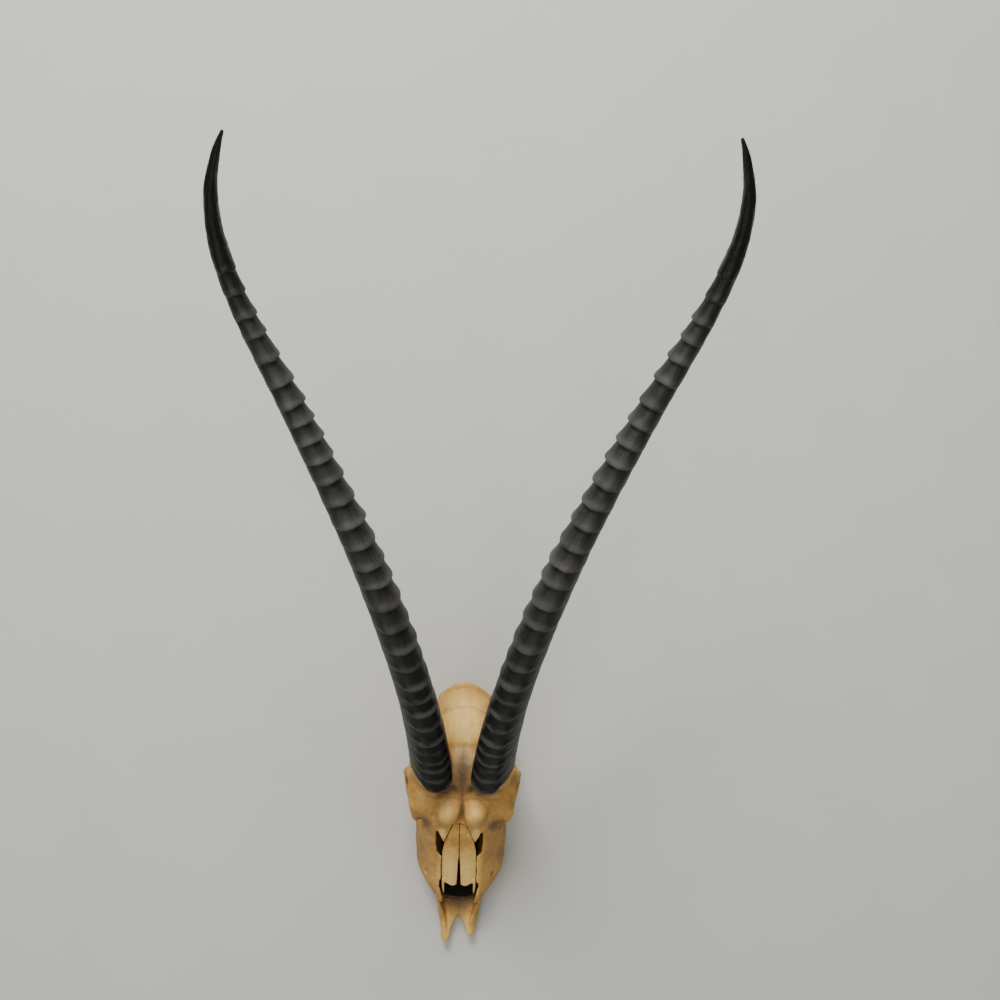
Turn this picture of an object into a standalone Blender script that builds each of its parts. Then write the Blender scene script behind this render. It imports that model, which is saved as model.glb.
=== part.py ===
"""Skull of a male Grant's gazelle with both horns, laid palate side down.

Metres, +Z up. The skull's midline runs along Y, with the muzzle towards -Y and the
horn tips towards +Y. Z is 0 on the surface that the cheek teeth and the back of the
skull rest on. Every size below is in millimetres, in the skull's own coordinates:
x to the right of the midline, s back from the muzzle tip, z above that surface.
"""
from math import cos, radians, sin

import bmesh
import bpy
import numpy as np

MM = 0.001

# Place of the skull in the part's frame: the middle of the box around it all
MIDDLE_X = 4.96
MIDDLE_S = 332.6

# Fine work of the fused skull
VOXEL = 1.7
SMOOTHING = 3
SKULL_TRIANGLES = 3600
GAP = 0.35

# Horns: along each one, nine evenly spaced values from base to tip
HORN_BASE = {-1: (-26.7, 184.0, 101.0), 1: (28.4, 184.0, 101.0)}
HORN_LENGTH = {-1: 607.0, 1: 615.0}
HORN_RISE = (47, 43, 37, 30.5, 26, 23, 25, 30.5, 40.5)
HORN_SPLAY = {
    -1: (4.3, 10.0, 16.1, 20.1, 24.1, 25.7, 26.2, 8.1, -32.6),
    1: (5.5, 10.9, 16.3, 20.3, 23.9, 26.0, 27.1, 12.6, -29.8),
}
HORN_WIDTH = (37.2, 34.0, 30.6, 27.6, 24.0, 20.9, 17.0, 11.6, 2.4)
HORN_DEPTH_RATIO = (1.18, 1.17, 1.16, 1.14, 1.12, 1.10, 1.08, 1.05, 1.0)
HORN_TURN = (14, 14, 12, 10, 8, 6, 4, 2, 0)
FOOT_SLANT = 30.0
FOOT_REACH = 90.0
FOOT_LOWEST = -15.0
RING_GROOVES = {
    -1: (
        13, 29, 40, 54.5, 66.5, 85.5, 105, 119.5, 135.5, 155, 175, 195.5, 218.5, 240, 256.5, 275.5,
        295, 314.5, 334, 351, 367.5, 383, 397.5, 415.5, 434.5, 454.5, 469, 487.5, 504.5, 521.5, 539,
    ),
    1: (
        14.5, 32.5, 41.5, 55, 69, 86.5, 105, 121.5, 139, 160, 180, 205, 225.5, 247, 264.5, 281.5,
        301.5, 319.5, 338, 357.5, 374, 391, 408, 428, 446.5, 463, 478, 496.5, 514.5, 530, 546,
    ),
}
RING_HEIGHT = 1.9
RING_LIP = 2.6
HORN_SIDES = 12

# Upper cheek teeth, from the second premolar to the third molar
TOOTH_LENGTHS = (8.5, 10.0, 10.5, 13.0, 15.0, 15.5)
TOOTH_WIDTHS = (6.5, 8.5, 10.5, 12.5, 13.0, 12.5)
TOOTH_X = (24.5, 26.5, 28.0, 29.3, 30.0, 29.5)
TOOTH_NAMES = ("P2", "P3", "P4", "M1", "M2", "M3")
TOOTH_START = 77.0
TOOTH_GAP = 0.5
TOOTH_HEIGHT = 19.0

# Nasal bones: station s, inner edge x, outer edge x, height of the top
NASAL_STATIONS = (
    (64.0, 2.0, 15.6, 47.5),
    (72.0, 1.7, 16.4, 52.0),
    (84.0, 1.2, 16.6, 59.0),
    (96.0, 0.5, 16.0, 66.0),
    (104.0, 0.2, 15.0, 70.6),
    (112.0, 0.2, 13.2, 75.3),
    (122.0, 0.2, 9.6, 81.2),
    (131.0, 0.2, 5.6, 86.2),
)
NASAL_THICKNESS = 2.4
NASAL_DROP = 0.011

# Premaxilla: section of the right one at each station s, as x, z, from its inner
# lower edge round by the outside and the rim of the nose back to its floor
PREMAXILLA = (
    (-3, ((9.8, 10.6), (13.4, 10.6), (14, 11.6), (12.6, 13), (11.4, 13), (10.6, 12.8), (9.6, 12.2))),
    (2, ((8.9, 10), (15.4, 10), (16.3, 11.6), (13.2, 14.6), (11.6, 14.6), (10.6, 14), (8.7, 13))),
    (11, ((7.6, 10), (15.8, 10), (16.8, 12), (13.2, 16), (11.6, 16), (10.4, 14.2), (7.4, 13.4))),
    (18, ((5, 10.5), (16.6, 10.6), (17.8, 12.8), (13.4, 18), (11.8, 18), (10.2, 14.8), (4.8, 14))),
    (26, ((0.5, 11.5), (17.6, 11.8), (19, 14.5), (15.2, 21.6), (13.4, 21.4), (11.4, 15.4), (0.5, 15))),
    (34, ((0.3, 12.5), (18.6, 13), (20.2, 16.4), (17.6, 25.6), (15.6, 25.4), (13.4, 16.6), (0.3, 16))),
    (41.5, ((0.3, 14), (19.6, 14.6), (21.6, 19), (19.8, 30), (17.6, 30), (15.8, 18), (0.3, 17.4))),
    (44, ((16.4, 19), (19.6, 18), (21.9, 21), (20.4, 31.4), (18.2, 31.4), (17, 28), (16.2, 24))),
    (55, ((19.6, 31), (21.6, 31), (22.6, 33), (22, 38), (20, 38.4), (19.2, 36), (19, 33))),
    (63, ((18.6, 41), (19.8, 41), (20.6, 42), (20, 44), (18.8, 44.2), (18.2, 43.4), (18.2, 42))),
)
PREMAXILLA_TIP = {-1: -3.0, 1: 4.0}

# Muzzle: half sections from the bottom of the midline up to its top, as x, z
MUZZLE = (
    (42.5, ((0, 18.5), (11, 17.5), (17, 21), (19, 27), (15.8, 36), (0, 40))),
    (54, ((0, 16), (16, 15), (24, 20), (27.5, 28), (19, 42), (0, 45))),
    (66, ((0, 14), (22, 13), (31, 18), (35.5, 28), (20.5, 47.5), (0, 49))),
    (80, ((0, 13), (28, 12), (36, 17), (41, 28), (22, 54.5), (0, 57))),
    (98, ((0, 13), (30, 12), (38, 18), (42.3, 32), (24, 63.5), (0, 67))),
    (117, ((0, 13), (31, 12), (38.5, 20), (43, 37), (28, 72), (0, 78.5))),
    (135, ((0, 13), (30, 13), (37, 24), (44, 46), (34, 81), (0, 89))),
    (148, ((0, 16), (24, 16), (32, 32), (40, 58), (36, 88), (0, 96))),
    (154, ((0, 22), (14, 22), (20, 40), (26, 62), (26, 84), (0, 96))),
)

# Forehead: the roof over the orbits, back to the horn pedicles
FOREHEAD = (
    (128, ((0, 70), (16, 68), (27, 66), (35, 71), (27, 80), (0, 85))),
    (138, ((0, 72), (18, 72), (34, 76), (42, 81), (33, 88), (0, 90.5))),
    (150, ((0, 74), (20, 76), (40, 80), (47, 86), (38, 95), (0, 98))),
    (163, ((0, 76), (20, 78), (42, 80), (49.5, 87), (42, 97), (0, 103))),
    (176, ((0, 76), (20, 78), (38, 78), (48, 85), (41, 98), (0, 108))),
    (190, ((0, 76), (16, 74), (30, 72), (39, 82), (34, 97), (0, 109))),
    (202, ((0, 76), (12, 74), (22, 74), (28, 82), (24, 92), (0, 101))),
)

# Core between the orbits, from the back of the palate to the braincase
CORE = (
    (138, ((0, 24), (12, 24), (17, 40), (18, 60), (16, 80), (0, 88))),
    (152, ((0, 26), (11, 26), (14, 42), (15, 60), (16, 84), (0, 94))),
    (168, ((0, 27), (12, 27), (17, 42), (19, 60), (20, 86), (0, 100))),
    (186, ((0, 27), (14, 28), (23, 42), (27, 60), (26, 84), (0, 102))),
    (202, ((0, 26), (16, 28), (26, 42), (30, 62), (26, 84), (0, 98))),
)

# Air passage of the nose, open to the front and above
NASAL_CAVITY = (
    (20, ((0, 21), (6, 21), (10, 26), (10.5, 36), (9, 50), (0, 52))),
    (42, ((0, 21), (9, 21), (14, 26), (14.5, 36), (13, 56), (0, 58))),
    (58, ((0, 21), (13, 21), (18.5, 27), (18, 38), (15.5, 62), (0, 64))),
    (64, ((0, 21), (14, 21), (20, 27), (20, 36), (16, 46), (0, 50))),
    (80, ((0, 22), (16, 22), (25, 28), (24, 38), (17, 51), (0, 54))),
    (100, ((0, 23), (16, 23), (26, 32), (25, 46), (17, 60), (0, 64))),
    (122, ((0, 26), (14, 26), (22, 38), (22, 54), (14, 70), (0, 76))),
    (134, ((0, 34), (8, 34), (12, 44), (12, 56), (8, 66), (0, 70))),
)


def smooth_path(points, steps, closed=False):
    """Points along the smooth curve through the given ones, steps to a span."""
    known = [np.array(point, float) for point in points]
    count = len(known)
    path = []
    for i in range(count if closed else count - 1):
        if closed:
            a, b, c, d = (known[(i + k) % count] for k in (-1, 0, 1, 2))
        else:
            a, b, c, d = (known[min(max(i + k, 0), count - 1)] for k in (-1, 0, 1, 2))
        for j in range(steps):
            t = j / steps
            bend = (2 * a - 5 * b + 4 * c - d) * t * t + (3 * b - a - 3 * c + d) * t**3
            path.append(0.5 * (2 * b + (c - a) * t + bend))
    if not closed:
        path.append(known[-1])
    return path


def value_at(values, t):
    """Smooth value at t, from 0 to 1, through evenly spaced values."""
    place = min(max(t, 0.0), 1.0) * (len(values) - 1)
    i = min(int(place), len(values) - 2)
    q = place - i
    a, b, c, d = (values[min(max(i + k, 0), len(values) - 1)] for k in (-1, 0, 1, 2))
    bend = (2 * a - 5 * b + 4 * c - d) * q * q + (3 * b - a - 3 * c + d) * q**3
    return 0.5 * (2 * b + (c - a) * q + bend)


def skin(loops, closed=False):
    """Solid through loops of points that all have the same count."""
    count = len(loops[0])
    points = [tuple(point) for loop in loops for point in loop]
    faces = []
    for i in range(len(loops) if closed else len(loops) - 1):
        a = i * count
        b = (i + 1) % len(loops) * count
        for j in range(count):
            k = (j + 1) % count
            faces.append((a + j, a + k, b + k))
            faces.append((a + j, b + k, b + j))
    if not closed:
        faces.append(tuple(reversed(range(count))))
        faces.append(tuple(range(len(points) - count, len(points))))
    return outward((points, faces))


def outward(shape):
    """The shape with its faces pointing out."""
    points, faces = shape
    p = np.array(points)
    volume = 0.0
    for face in faces:
        for i in range(1, len(face) - 1):
            volume += np.dot(p[face[0]], np.cross(p[face[i]], p[face[i + 1]]))
    if volume < 0:
        faces = [tuple(reversed(face)) for face in faces]
    return points, faces


def grown(shape, by):
    """The shape with every point moved out along the surface's normal."""
    points, faces = shape
    p = np.array(points, float)
    normals = np.zeros_like(p)
    for face in faces:
        for i in range(1, len(face) - 1):
            a, b, c = p[face[0]], p[face[i]], p[face[i + 1]]
            facing = np.cross(b - a, c - a)
            normals[[face[0], face[i], face[i + 1]]] += facing / np.linalg.norm(facing)
    normals /= np.linalg.norm(normals, axis=1)[:, None]
    return [tuple(point) for point in p + normals * by], faces


def both(shape):
    """The shape and its mirror image across the midline."""
    points, faces = shape
    flipped = [(-x, s, z) for x, s, z in points]
    return [shape, (flipped, [tuple(reversed(face)) for face in faces])]


def ball(centre, radii, rings=10, sides=18):
    """Ellipsoid with its poles along s."""
    loops = []
    for i in range(rings + 1):
        polar = radians(180.0 * (i + 0.25) / (rings + 0.5))
        loop = []
        for j in range(sides):
            turn = radians(360.0 * j / sides)
            loop.append((
                centre[0] + radii[0] * sin(polar) * cos(turn),
                centre[1] - radii[1] * cos(polar),
                centre[2] + radii[2] * sin(polar) * sin(turn),
            ))
        loops.append(loop)
    return skin(loops)


def rod(points, radii, closed=False, sides=12, steps=4):
    """Tapered tube through points; each radius is one number, or across and up."""
    pairs = [r if isinstance(r, tuple) else (r, r) for r in radii]
    stations = [tuple(p) + pair for p, pair in zip(points, pairs)]
    path = smooth_path(stations, steps, closed)
    loops = []
    for i, station in enumerate(path):
        before = path[i - 1] if closed or i else station
        after = path[(i + 1) % len(path)] if closed or i < len(path) - 1 else station
        along = (after - before)[:3]
        along /= np.linalg.norm(along)
        side = np.cross(along, (0, 0, 1))
        if np.linalg.norm(side) < 0.2:
            side = np.cross(along, (0, 1, 0))
        side /= np.linalg.norm(side)
        up = np.cross(side, along)
        loop = []
        for j in range(sides):
            turn = radians(360.0 * j / sides)
            reach = side * station[3] * cos(turn) + up * station[4] * sin(turn)
            loop.append(station[:3] + reach)
        loops.append(loop)
    return skin(loops, closed)


def loft(stations, steps=4):
    """Symmetric solid through half sections."""
    rows = [[(x, s, z) for x, z in half] for s, half in stations]
    count = len(rows[0])
    paths = [smooth_path([row[i] for row in rows], steps) for i in range(count)]
    loops = []
    for i in range(len(paths[0])):
        half = [path[i] for path in paths]
        left = [np.array((-p[0], p[1], p[2])) for p in reversed(half[1:-1])]
        loops.append(smooth_path(half + left, 3, closed=True))
    return skin(loops)


def prism(outline, bottom, top):
    """Upright solid on a plan outline of x, s points."""
    return skin([[(x, s, bottom) for x, s in outline], [(x, s, top) for x, s in outline]])


def sloping_prism(outline, bottom, top):
    """Prism whose two ends slope up along the muzzle, from their heights at s 60."""
    slope = 0.57
    low = [(x, s, bottom + (s - 60) * slope) for x, s in outline]
    high = [(x, s, top + (s - 60) * slope) for x, s in outline]
    return skin([low, high])


def new_object(name, shapes, material=None):
    """One object from shapes in skull millimetres."""
    points = []
    faces = []
    for shape_points, shape_faces in shapes:
        start = len(points)
        points.extend(shape_points)
        faces.extend(tuple(i + start for i in face) for face in shape_faces)
    placed = [((x - MIDDLE_X) * MM, (s - MIDDLE_S) * MM, z * MM) for x, s, z in points]
    mesh = bpy.data.meshes.new(name)
    mesh.from_pydata(placed, [], faces)
    mesh.update()
    built = bpy.data.objects.new(name, mesh)
    bpy.context.scene.collection.objects.link(built)
    if material:
        mesh.materials.append(material)
    return built


def modified(target, kind, **settings):
    """Apply one modifier to the object."""
    modifier = target.modifiers.new(kind, kind)
    for name, value in settings.items():
        setattr(modifier, name, value)
    graph = bpy.context.evaluated_depsgraph_get()
    mesh = bpy.data.meshes.new_from_object(target.evaluated_get(graph))
    target.modifiers.clear()
    target.data = mesh


def fused(target, smoothing):
    """One even skin around everything in the object."""
    modified(target, "REMESH", mode="VOXEL", voxel_size=VOXEL * MM)
    if smoothing:
        modified(target, "SMOOTH", factor=0.5, iterations=smoothing)


def cut(target, shapes):
    """Take the shapes, which may overlap, out of the object."""
    cutter = new_object("cutter", shapes)
    modified(target, "BOOLEAN", operation="DIFFERENCE", object=cutter, use_self=True)
    bpy.data.objects.remove(cutter)


def triangulated(target):
    """Split every face into triangles and weld what meets."""
    work = bmesh.new()
    work.from_mesh(target.data)
    bmesh.ops.remove_doubles(work, verts=work.verts, dist=0.00001)
    bmesh.ops.dissolve_degenerate(work, edges=work.edges, dist=0.00001)
    bmesh.ops.triangulate(work, faces=work.faces)
    work.to_mesh(target.data)
    work.free()
    target.data.shade_smooth()
    target.data.set_sharp_from_angle(angle=radians(40))


def material(name, colour, roughness):
    """Plain material of one colour."""
    made = bpy.data.materials.new(name)
    made.use_nodes = True
    surface = made.node_tree.nodes["Principled BSDF"]
    surface.inputs["Base Color"].default_value = (*colour, 1.0)
    surface.inputs["Roughness"].default_value = roughness
    surface.inputs["Metallic"].default_value = 0.0
    return made


def horn_frames(side, steps=240):
    """Centre line of a horn, with its direction, outer side and front at each step."""
    place = np.array(HORN_BASE[side], float)
    frames = []
    for i in range(steps + 1):
        t = i / steps
        rise = radians(value_at(HORN_RISE, t))
        splay = radians(value_at(HORN_SPLAY[side], t))
        along = np.array((side * cos(rise) * sin(splay), cos(rise) * cos(splay), sin(rise)))
        outer = np.cross(along, (0, 0, 1)) * side
        outer /= np.linalg.norm(outer)
        front = np.cross(along, outer) * side
        front *= 1.0 if front[2] > 0 else -1.0
        frames.append((place.copy(), along, outer, front))
        place = place + along * HORN_LENGTH[side] / steps
    return frames


def horn_loop(side, frames, t, lip, grow=0.0, shift=0.0):
    """Section of a horn at t, raised by a ring where lip is 1."""
    frame = frames[round(t * (len(frames) - 1))]
    centre, along, outer, front = frame
    lean = radians(value_at(HORN_TURN, t))
    outer, front = outer * cos(lean) + front * sin(lean), front * cos(lean) - outer * sin(lean)
    across = value_at(HORN_WIDTH, t) / 2
    deep = across * value_at(HORN_DEPTH_RATIO, t)
    slant = FOOT_SLANT * max(0.0, 1 - t * HORN_LENGTH[side] / FOOT_REACH) ** 2
    lowest = radians(FOOT_LOWEST)
    loop = []
    for j in range(HORN_SIDES):
        turn = radians(360.0 * j / HORN_SIDES)
        facing = cos(turn + radians(12.0))
        height = RING_HEIGHT * (0.3 + 0.7 * max(facing, 0.0)) * across / 19.0 * 1.2
        height = min(height, RING_HEIGHT)
        swell = grow + lip * height
        out_by = sin(turn) * (across + swell)
        front_by = cos(turn) * (deep + swell)
        lowness = out_by / across * sin(lowest) + front_by / deep * cos(lowest)
        rise = shift + slant * (1 - lowness) / 2
        loop.append(centre + along * rise + outer * out_by + front * front_by)
    return loop


def horn_shape(side):
    """Whole horn: base, rings with a sharp lower lip, smooth tip."""
    length = HORN_LENGTH[side]
    frames = horn_frames(side, 2400)
    loops = [horn_loop(side, frames, 0.0, 0.3)]
    for place in RING_GROOVES[side]:
        loops.append(horn_loop(side, frames, place / length, 0.0))
        loops.append(horn_loop(side, frames, (place + RING_LIP) / length, 1.0))
    smooth_from = (RING_GROOVES[side][-1] + 17) / length
    for i in range(8):
        t = smooth_from + (1.0 - smooth_from) * i / 7
        loops.append(horn_loop(side, frames, t, 0.0))
    return skin(loops)


def horn_seat(side):
    """Room for the foot of a horn in the top of its pedicle."""
    frames = horn_frames(side, 240)
    loops = [horn_loop(side, frames, 0.0, 1.0, GAP, -GAP)]
    for i in range(6):
        loops.append(horn_loop(side, frames, i * 0.0125, 1.0, GAP))
    return skin(loops)


def tooth_shape(index, side, grow=0.0):
    """Cheek tooth with a flat grinding face at z 0 and a root that tapers."""
    start = TOOTH_START + sum(TOOTH_LENGTHS[:index])
    length = TOOTH_LENGTHS[index] - TOOTH_GAP
    middle = start + TOOTH_LENGTHS[index] / 2
    bottom = -1.0 if grow else 0.0
    loops = []
    for z, scale in ((bottom, 0.9), (2.5, 1.0), (12.0, 0.98), (TOOTH_HEIGHT + grow, 0.7)):
        half_width = TOOTH_WIDTHS[index] / 2 * scale + grow
        half_length = length / 2 * scale + grow
        loop = []
        for x, s in ((1, 0.55), (0.6, 1), (-0.6, 1), (-1, 0.55)):
            loop.append((side * TOOTH_X[index] + half_width * x, middle + half_length * s, z))
        for x, s in ((-1, -0.55), (-0.6, -1), (0.6, -1), (1, -0.55)):
            loop.append((side * TOOTH_X[index] + half_width * x, middle + half_length * s, z))
        loops.append(loop)
    return skin(loops)


def nasal_shape(side):
    """Nasal bone: a long curved plate, forked where it ends at the front."""
    loops = []
    for s, inner, outer, top in NASAL_STATIONS:
        upper = []
        lower = []
        for i in range(4):
            x = inner + (outer - inner) * i / 3
            z = top - NASAL_DROP * x * x
            upper.append((side * x, s, z))
            lower.append((side * x, s, z - NASAL_THICKNESS))
        loops.append(upper + lower[::-1])
    return skin(loops)


def nasal_slot():
    """Opening in the roof of the muzzle that both nasal bones lie in."""
    outline = [(outer + GAP, s) for s, inner, outer, top in NASAL_STATIONS]
    outline[0] = (outline[0][0] + 0.6, 58.0)
    outline[-1] = (outline[-1][0], outline[-1][1] + GAP)
    mirrored = [(-x, s) for x, s in reversed(outline)]
    points = outline + mirrored
    return sloping_prism(points, 34, 61)


def premaxilla_shape(side):
    """Front bone of the upper jaw: a flat tip that runs back and up as a thin wall."""
    loops = []
    for s, section in PREMAXILLA:
        lag = max(0.0, 1.0 - (s + 3) / 21) * (PREMAXILLA_TIP[side] + 3)
        loops.append([(side * x, s + lag, z) for x, z in section])
    return skin(loops)


def skull_forms():
    """Everything that is fused into the skull."""
    forms = [loft(MUZZLE), loft(FOREHEAD), loft(CORE)]
    rim = (
        (40, 131, 64), (45.5, 136, 49), (50.8, 149, 43), (53, 163, 49),
        (52.5, 174, 64), (47.5, 167, 83), (46.5, 150, 88), (42.5, 137, 81),
    )
    widths = [3.4, (2.6, 3.4), (2.0, 3.6), (1.7, 3.8), (2.2, 3.4), 3.2, 3.4, 3.4]
    forms += both(rod(rim, widths, closed=True))
    corner = ((43, 170, 89), (48, 176, 83), (50.5, 178, 73), (51, 175, 62))
    forms += both(rod(corner, [4.5, 3.4, 2.6, 2.4]))
    arch = ((43, 128, 40), (47, 140, 40), (50, 158, 41), (48.5, 176, 46), (43, 194, 51), (35, 206, 55))
    forms += both(rod(arch, [(3.4, 7), (3.4, 6), (3, 5), (2.6, 4.6), (2.8, 4.8), (4, 6)]))
    bar = ((50.5, 168, 44), (51.8, 173, 56), (50.5, 175, 74), (45, 172, 90))
    forms += both(rod(bar, [(2.4, 3.2), (2.2, 3), (2.6, 3.2), 5]))
    forms += both(ball((12.5, 141, 86), (11.5, 14, 11.5)))
    pedicle = ((25, 170, 84), (26.6, 180, 96), (28, 190, 107), (30.5, 204, 122))
    forms += both(rod(pedicle, [(17.5, 21), (18, 21.5), (18, 21.5), (17, 20)]))
    forms += [ball((0, 205, 64), (31.5, 36, 36)), ball((0, 222, 54), (29.5, 31, 32))]
    crest = (
        (-24, 236, 46), (-20, 244.5, 53), (-11.5, 252, 60), (0, 255.5, 63),
        (11.5, 252, 60), (20, 244.5, 53), (24, 236, 46),
    )
    forms += [rod(crest, [3.0] * 7)]
    forms += [ball((0, 239, 42), (26, 11, 24))]
    condyle = ((8, 238, 34), (12, 239.5, 22), (13, 240, 9), (12.5, 240.5, -3))
    forms += both(rod(condyle, [(5, 6), 7, 6.5, 6]))
    beside_ear = ((25, 232, 38), (26, 238, 22), (25, 241, 8), (24, 241, -3))
    forms += both(rod(beside_ear, [7, 5, 4, 3.4]))
    forms += both(ball((18, 228, 22), (8, 13, 13)))
    forms += both(rod(((22, 222, 34), (30, 219, 38), (37, 217, 41)), [6, 5, 4.6]))
    forms += both(ball((31, 212, 46), (8, 12, 11)))
    skull_base = ((0, 246, 16), (0, 236, 19), (0, 215, 24), (0, 190, 28))
    forms += [rod(skull_base, [(10, 5), (10, 6), (9, 7), (8, 7)])]
    pterygoid = ((12, 146, 22), (11, 158, 18), (10, 172, 19), (9, 190, 26))
    forms += both(rod(pterygoid, [(2.2, 8), (1.8, 8), (1.8, 8), (2, 6)]))
    forms += both(ball((29.5, 150, 24), (7, 7, 11)))
    return forms


def skull_hollows():
    """Everything that is hollowed out of the fused skull."""
    hollows = [loft(NASAL_CAVITY)]
    hollows += both(ball((46, 151.5, 66), (29, 18, 18.5)))
    hollows += both(ball((44, 191, 66), (13, 15, 17)))
    fissure = (
        (16.8, 97), (19.4, 98), (21.4, 106), (21.2, 115), (20, 122), (16.6, 122),
        (15, 115), (14, 109), (15.2, 103),
    )
    hollows += both(prism(fissure, 50, 90))
    slit = ((16.6, 60), (18.2, 62), (18.4, 80), (17.8, 98), (16.2, 98), (16.8, 80))
    hollows += both(sloping_prism(slit, 30, 62))
    hollows += both(ball((44, 127, 62), (10.5, 12, 11)))
    hollows += both(rod(((13, 158, 114), (15, 165, 99)), [3.2, 2.6]))
    hollows += both(rod(((42, 66, 36), (27, 76, 38)), [2.6, 2.6]))
    hollows += [rod(((0, 275, 33), (0, 228, 36)), [(9.5, 9), (9, 8)])]
    hollows += both(rod(((46, 216, 43), (28, 220, 39)), [2.6, 2.4]))
    vault = (
        (66, ((0, 2), (8, 2), (15, 4), (15, 8), (10, 13), (0, 15))),
        (80, ((0, 2), (10, 2), (18, 4), (19, 9), (14, 15), (0, 17))),
        (110, ((0, 2), (12, 2), (21, 4), (21.5, 10), (16, 16), (0, 18))),
        (140, ((0, 2), (12, 2), (21, 4), (21.5, 10), (16, 16.5), (0, 18.5))),
        (158, ((0, 2), (10, 2), (20, 4), (20, 10), (14, 15.5), (0, 17.5))),
    )
    hollows += [loft(vault)]
    hollows += [rod(((0, 140, 24), (0, 160, 27), (0, 190, 20)), [(7.5, 5), (8, 8), (7, 10)])]
    return hollows


def build_skull(bone):
    """Fused skull with its hollows, tooth sockets, horn seats and rests."""
    skull = new_object("skull", skull_forms())
    fused(skull, 2)
    hollows = new_object("hollows", skull_hollows())
    fused(hollows, 0)
    modified(skull, "BOOLEAN", operation="DIFFERENCE", object=hollows)
    bpy.data.objects.remove(hollows)
    fused(skull, SMOOTHING)
    share = SKULL_TRIANGLES / sum(len(face.vertices) - 2 for face in skull.data.polygons)
    modified(skull, "DECIMATE", ratio=share)
    rooms = [prism(((-60, -20), (60, -20), (60, 300), (-60, 300)), -40, 0)]
    rooms += [nasal_slot()]
    rooms += [grown(premaxilla_shape(side), 2 * GAP) for side in (-1, 1)]
    rooms += both(ball((19.2, 63.1, 43.3), (1.9, 1.5, 2.0), 6, 10))
    rooms += both(prism(((10.5, 42), (16.6, 42), (16.6, 44.6), (10.5, 44.2)), 20, 25))
    rooms += [horn_seat(side) for side in (-1, 1)]
    for side in (-1, 1):
        rooms += [tooth_shape(i, side, GAP) for i in range(len(TOOTH_NAMES))]
    cut(skull, rooms)
    skull.data.materials.clear()
    skull.data.materials.append(bone)
    triangulated(skull)


def main():
    """Clear the scene and build every piece."""
    for old in list(bpy.data.objects):
        bpy.data.objects.remove(old)
    bone = material("Weathered bone", (0.56, 0.38, 0.17), 0.6)
    sheath = material("Horn sheath", (0.03, 0.028, 0.027), 0.55)
    enamel = material("Tooth enamel", (0.55, 0.45, 0.30), 0.4)
    build_skull(bone)
    for side, word in ((-1, "left"), (1, "right")):
        triangulated(new_object(f"horn_{word}", [horn_shape(side)], sheath))
        triangulated(new_object(f"nasal_bone_{word}", [nasal_shape(side)], bone))
        triangulated(new_object(f"premaxilla_{word}", [premaxilla_shape(side)], bone))
        for i, tooth in enumerate(TOOTH_NAMES):
            name = f"tooth_{tooth}_{word}"
            triangulated(new_object(name, [tooth_shape(i, side)], enamel))


main()
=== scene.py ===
"""Gazelle skull with both horns: the finished pieces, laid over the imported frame.

Sizes in the shape lists are millimetres in the skull's own coordinates: x to the
right of the midline, s back from the muzzle tip, z above the surface it rests on.
"""

from functools import partial
from math import cos, pi, radians, sin

import bmesh
import bpy
import numpy as np
from bpy.props import FloatProperty, FloatVectorProperty, IntProperty, PointerProperty
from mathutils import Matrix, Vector, noise
from mathutils.bvhtree import BVHTree


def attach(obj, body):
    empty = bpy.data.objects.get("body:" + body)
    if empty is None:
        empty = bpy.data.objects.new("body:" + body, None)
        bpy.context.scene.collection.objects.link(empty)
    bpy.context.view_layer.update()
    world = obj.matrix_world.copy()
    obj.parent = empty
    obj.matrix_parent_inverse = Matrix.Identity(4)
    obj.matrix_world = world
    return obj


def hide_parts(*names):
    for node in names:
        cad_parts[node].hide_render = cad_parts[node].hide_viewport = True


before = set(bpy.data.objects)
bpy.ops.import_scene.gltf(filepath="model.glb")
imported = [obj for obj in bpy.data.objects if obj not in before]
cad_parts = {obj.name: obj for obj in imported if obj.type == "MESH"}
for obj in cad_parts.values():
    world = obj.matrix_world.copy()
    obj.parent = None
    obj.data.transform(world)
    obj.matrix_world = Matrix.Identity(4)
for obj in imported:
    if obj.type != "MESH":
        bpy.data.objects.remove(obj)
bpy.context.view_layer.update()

bl_info = {
    "name": "Gazelle skull",
    "version": (1, 0, 0),
    "blender": (4, 5, 0),
    "location": "3D View > Sidebar > Skull",
    "description": "Builds a weathered gazelle skull with ringed horns",
    "category": "Add Mesh",
}

MM = 0.001

# Place of the skull in the frame, as its solids have it
MIDDLE_X = 4.96
MIDDLE_S = 332.6

# Cells that the bone is fused with before and after it is hollowed, and thin bones
FIRST_VOXEL = 1.3
HOLLOWED_VOXEL = 1.1
THIN_VOXEL = 0.45
SKULL_TRIANGLES = 190000

# Room left around the nasal bones, the premaxillae and the teeth
GAP = 0.35
PREMAXILLA_GAP = 0.5
TOOTH_ROOM = 0.45

SIDES = ((-1, "left"), (1, "right"))

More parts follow.
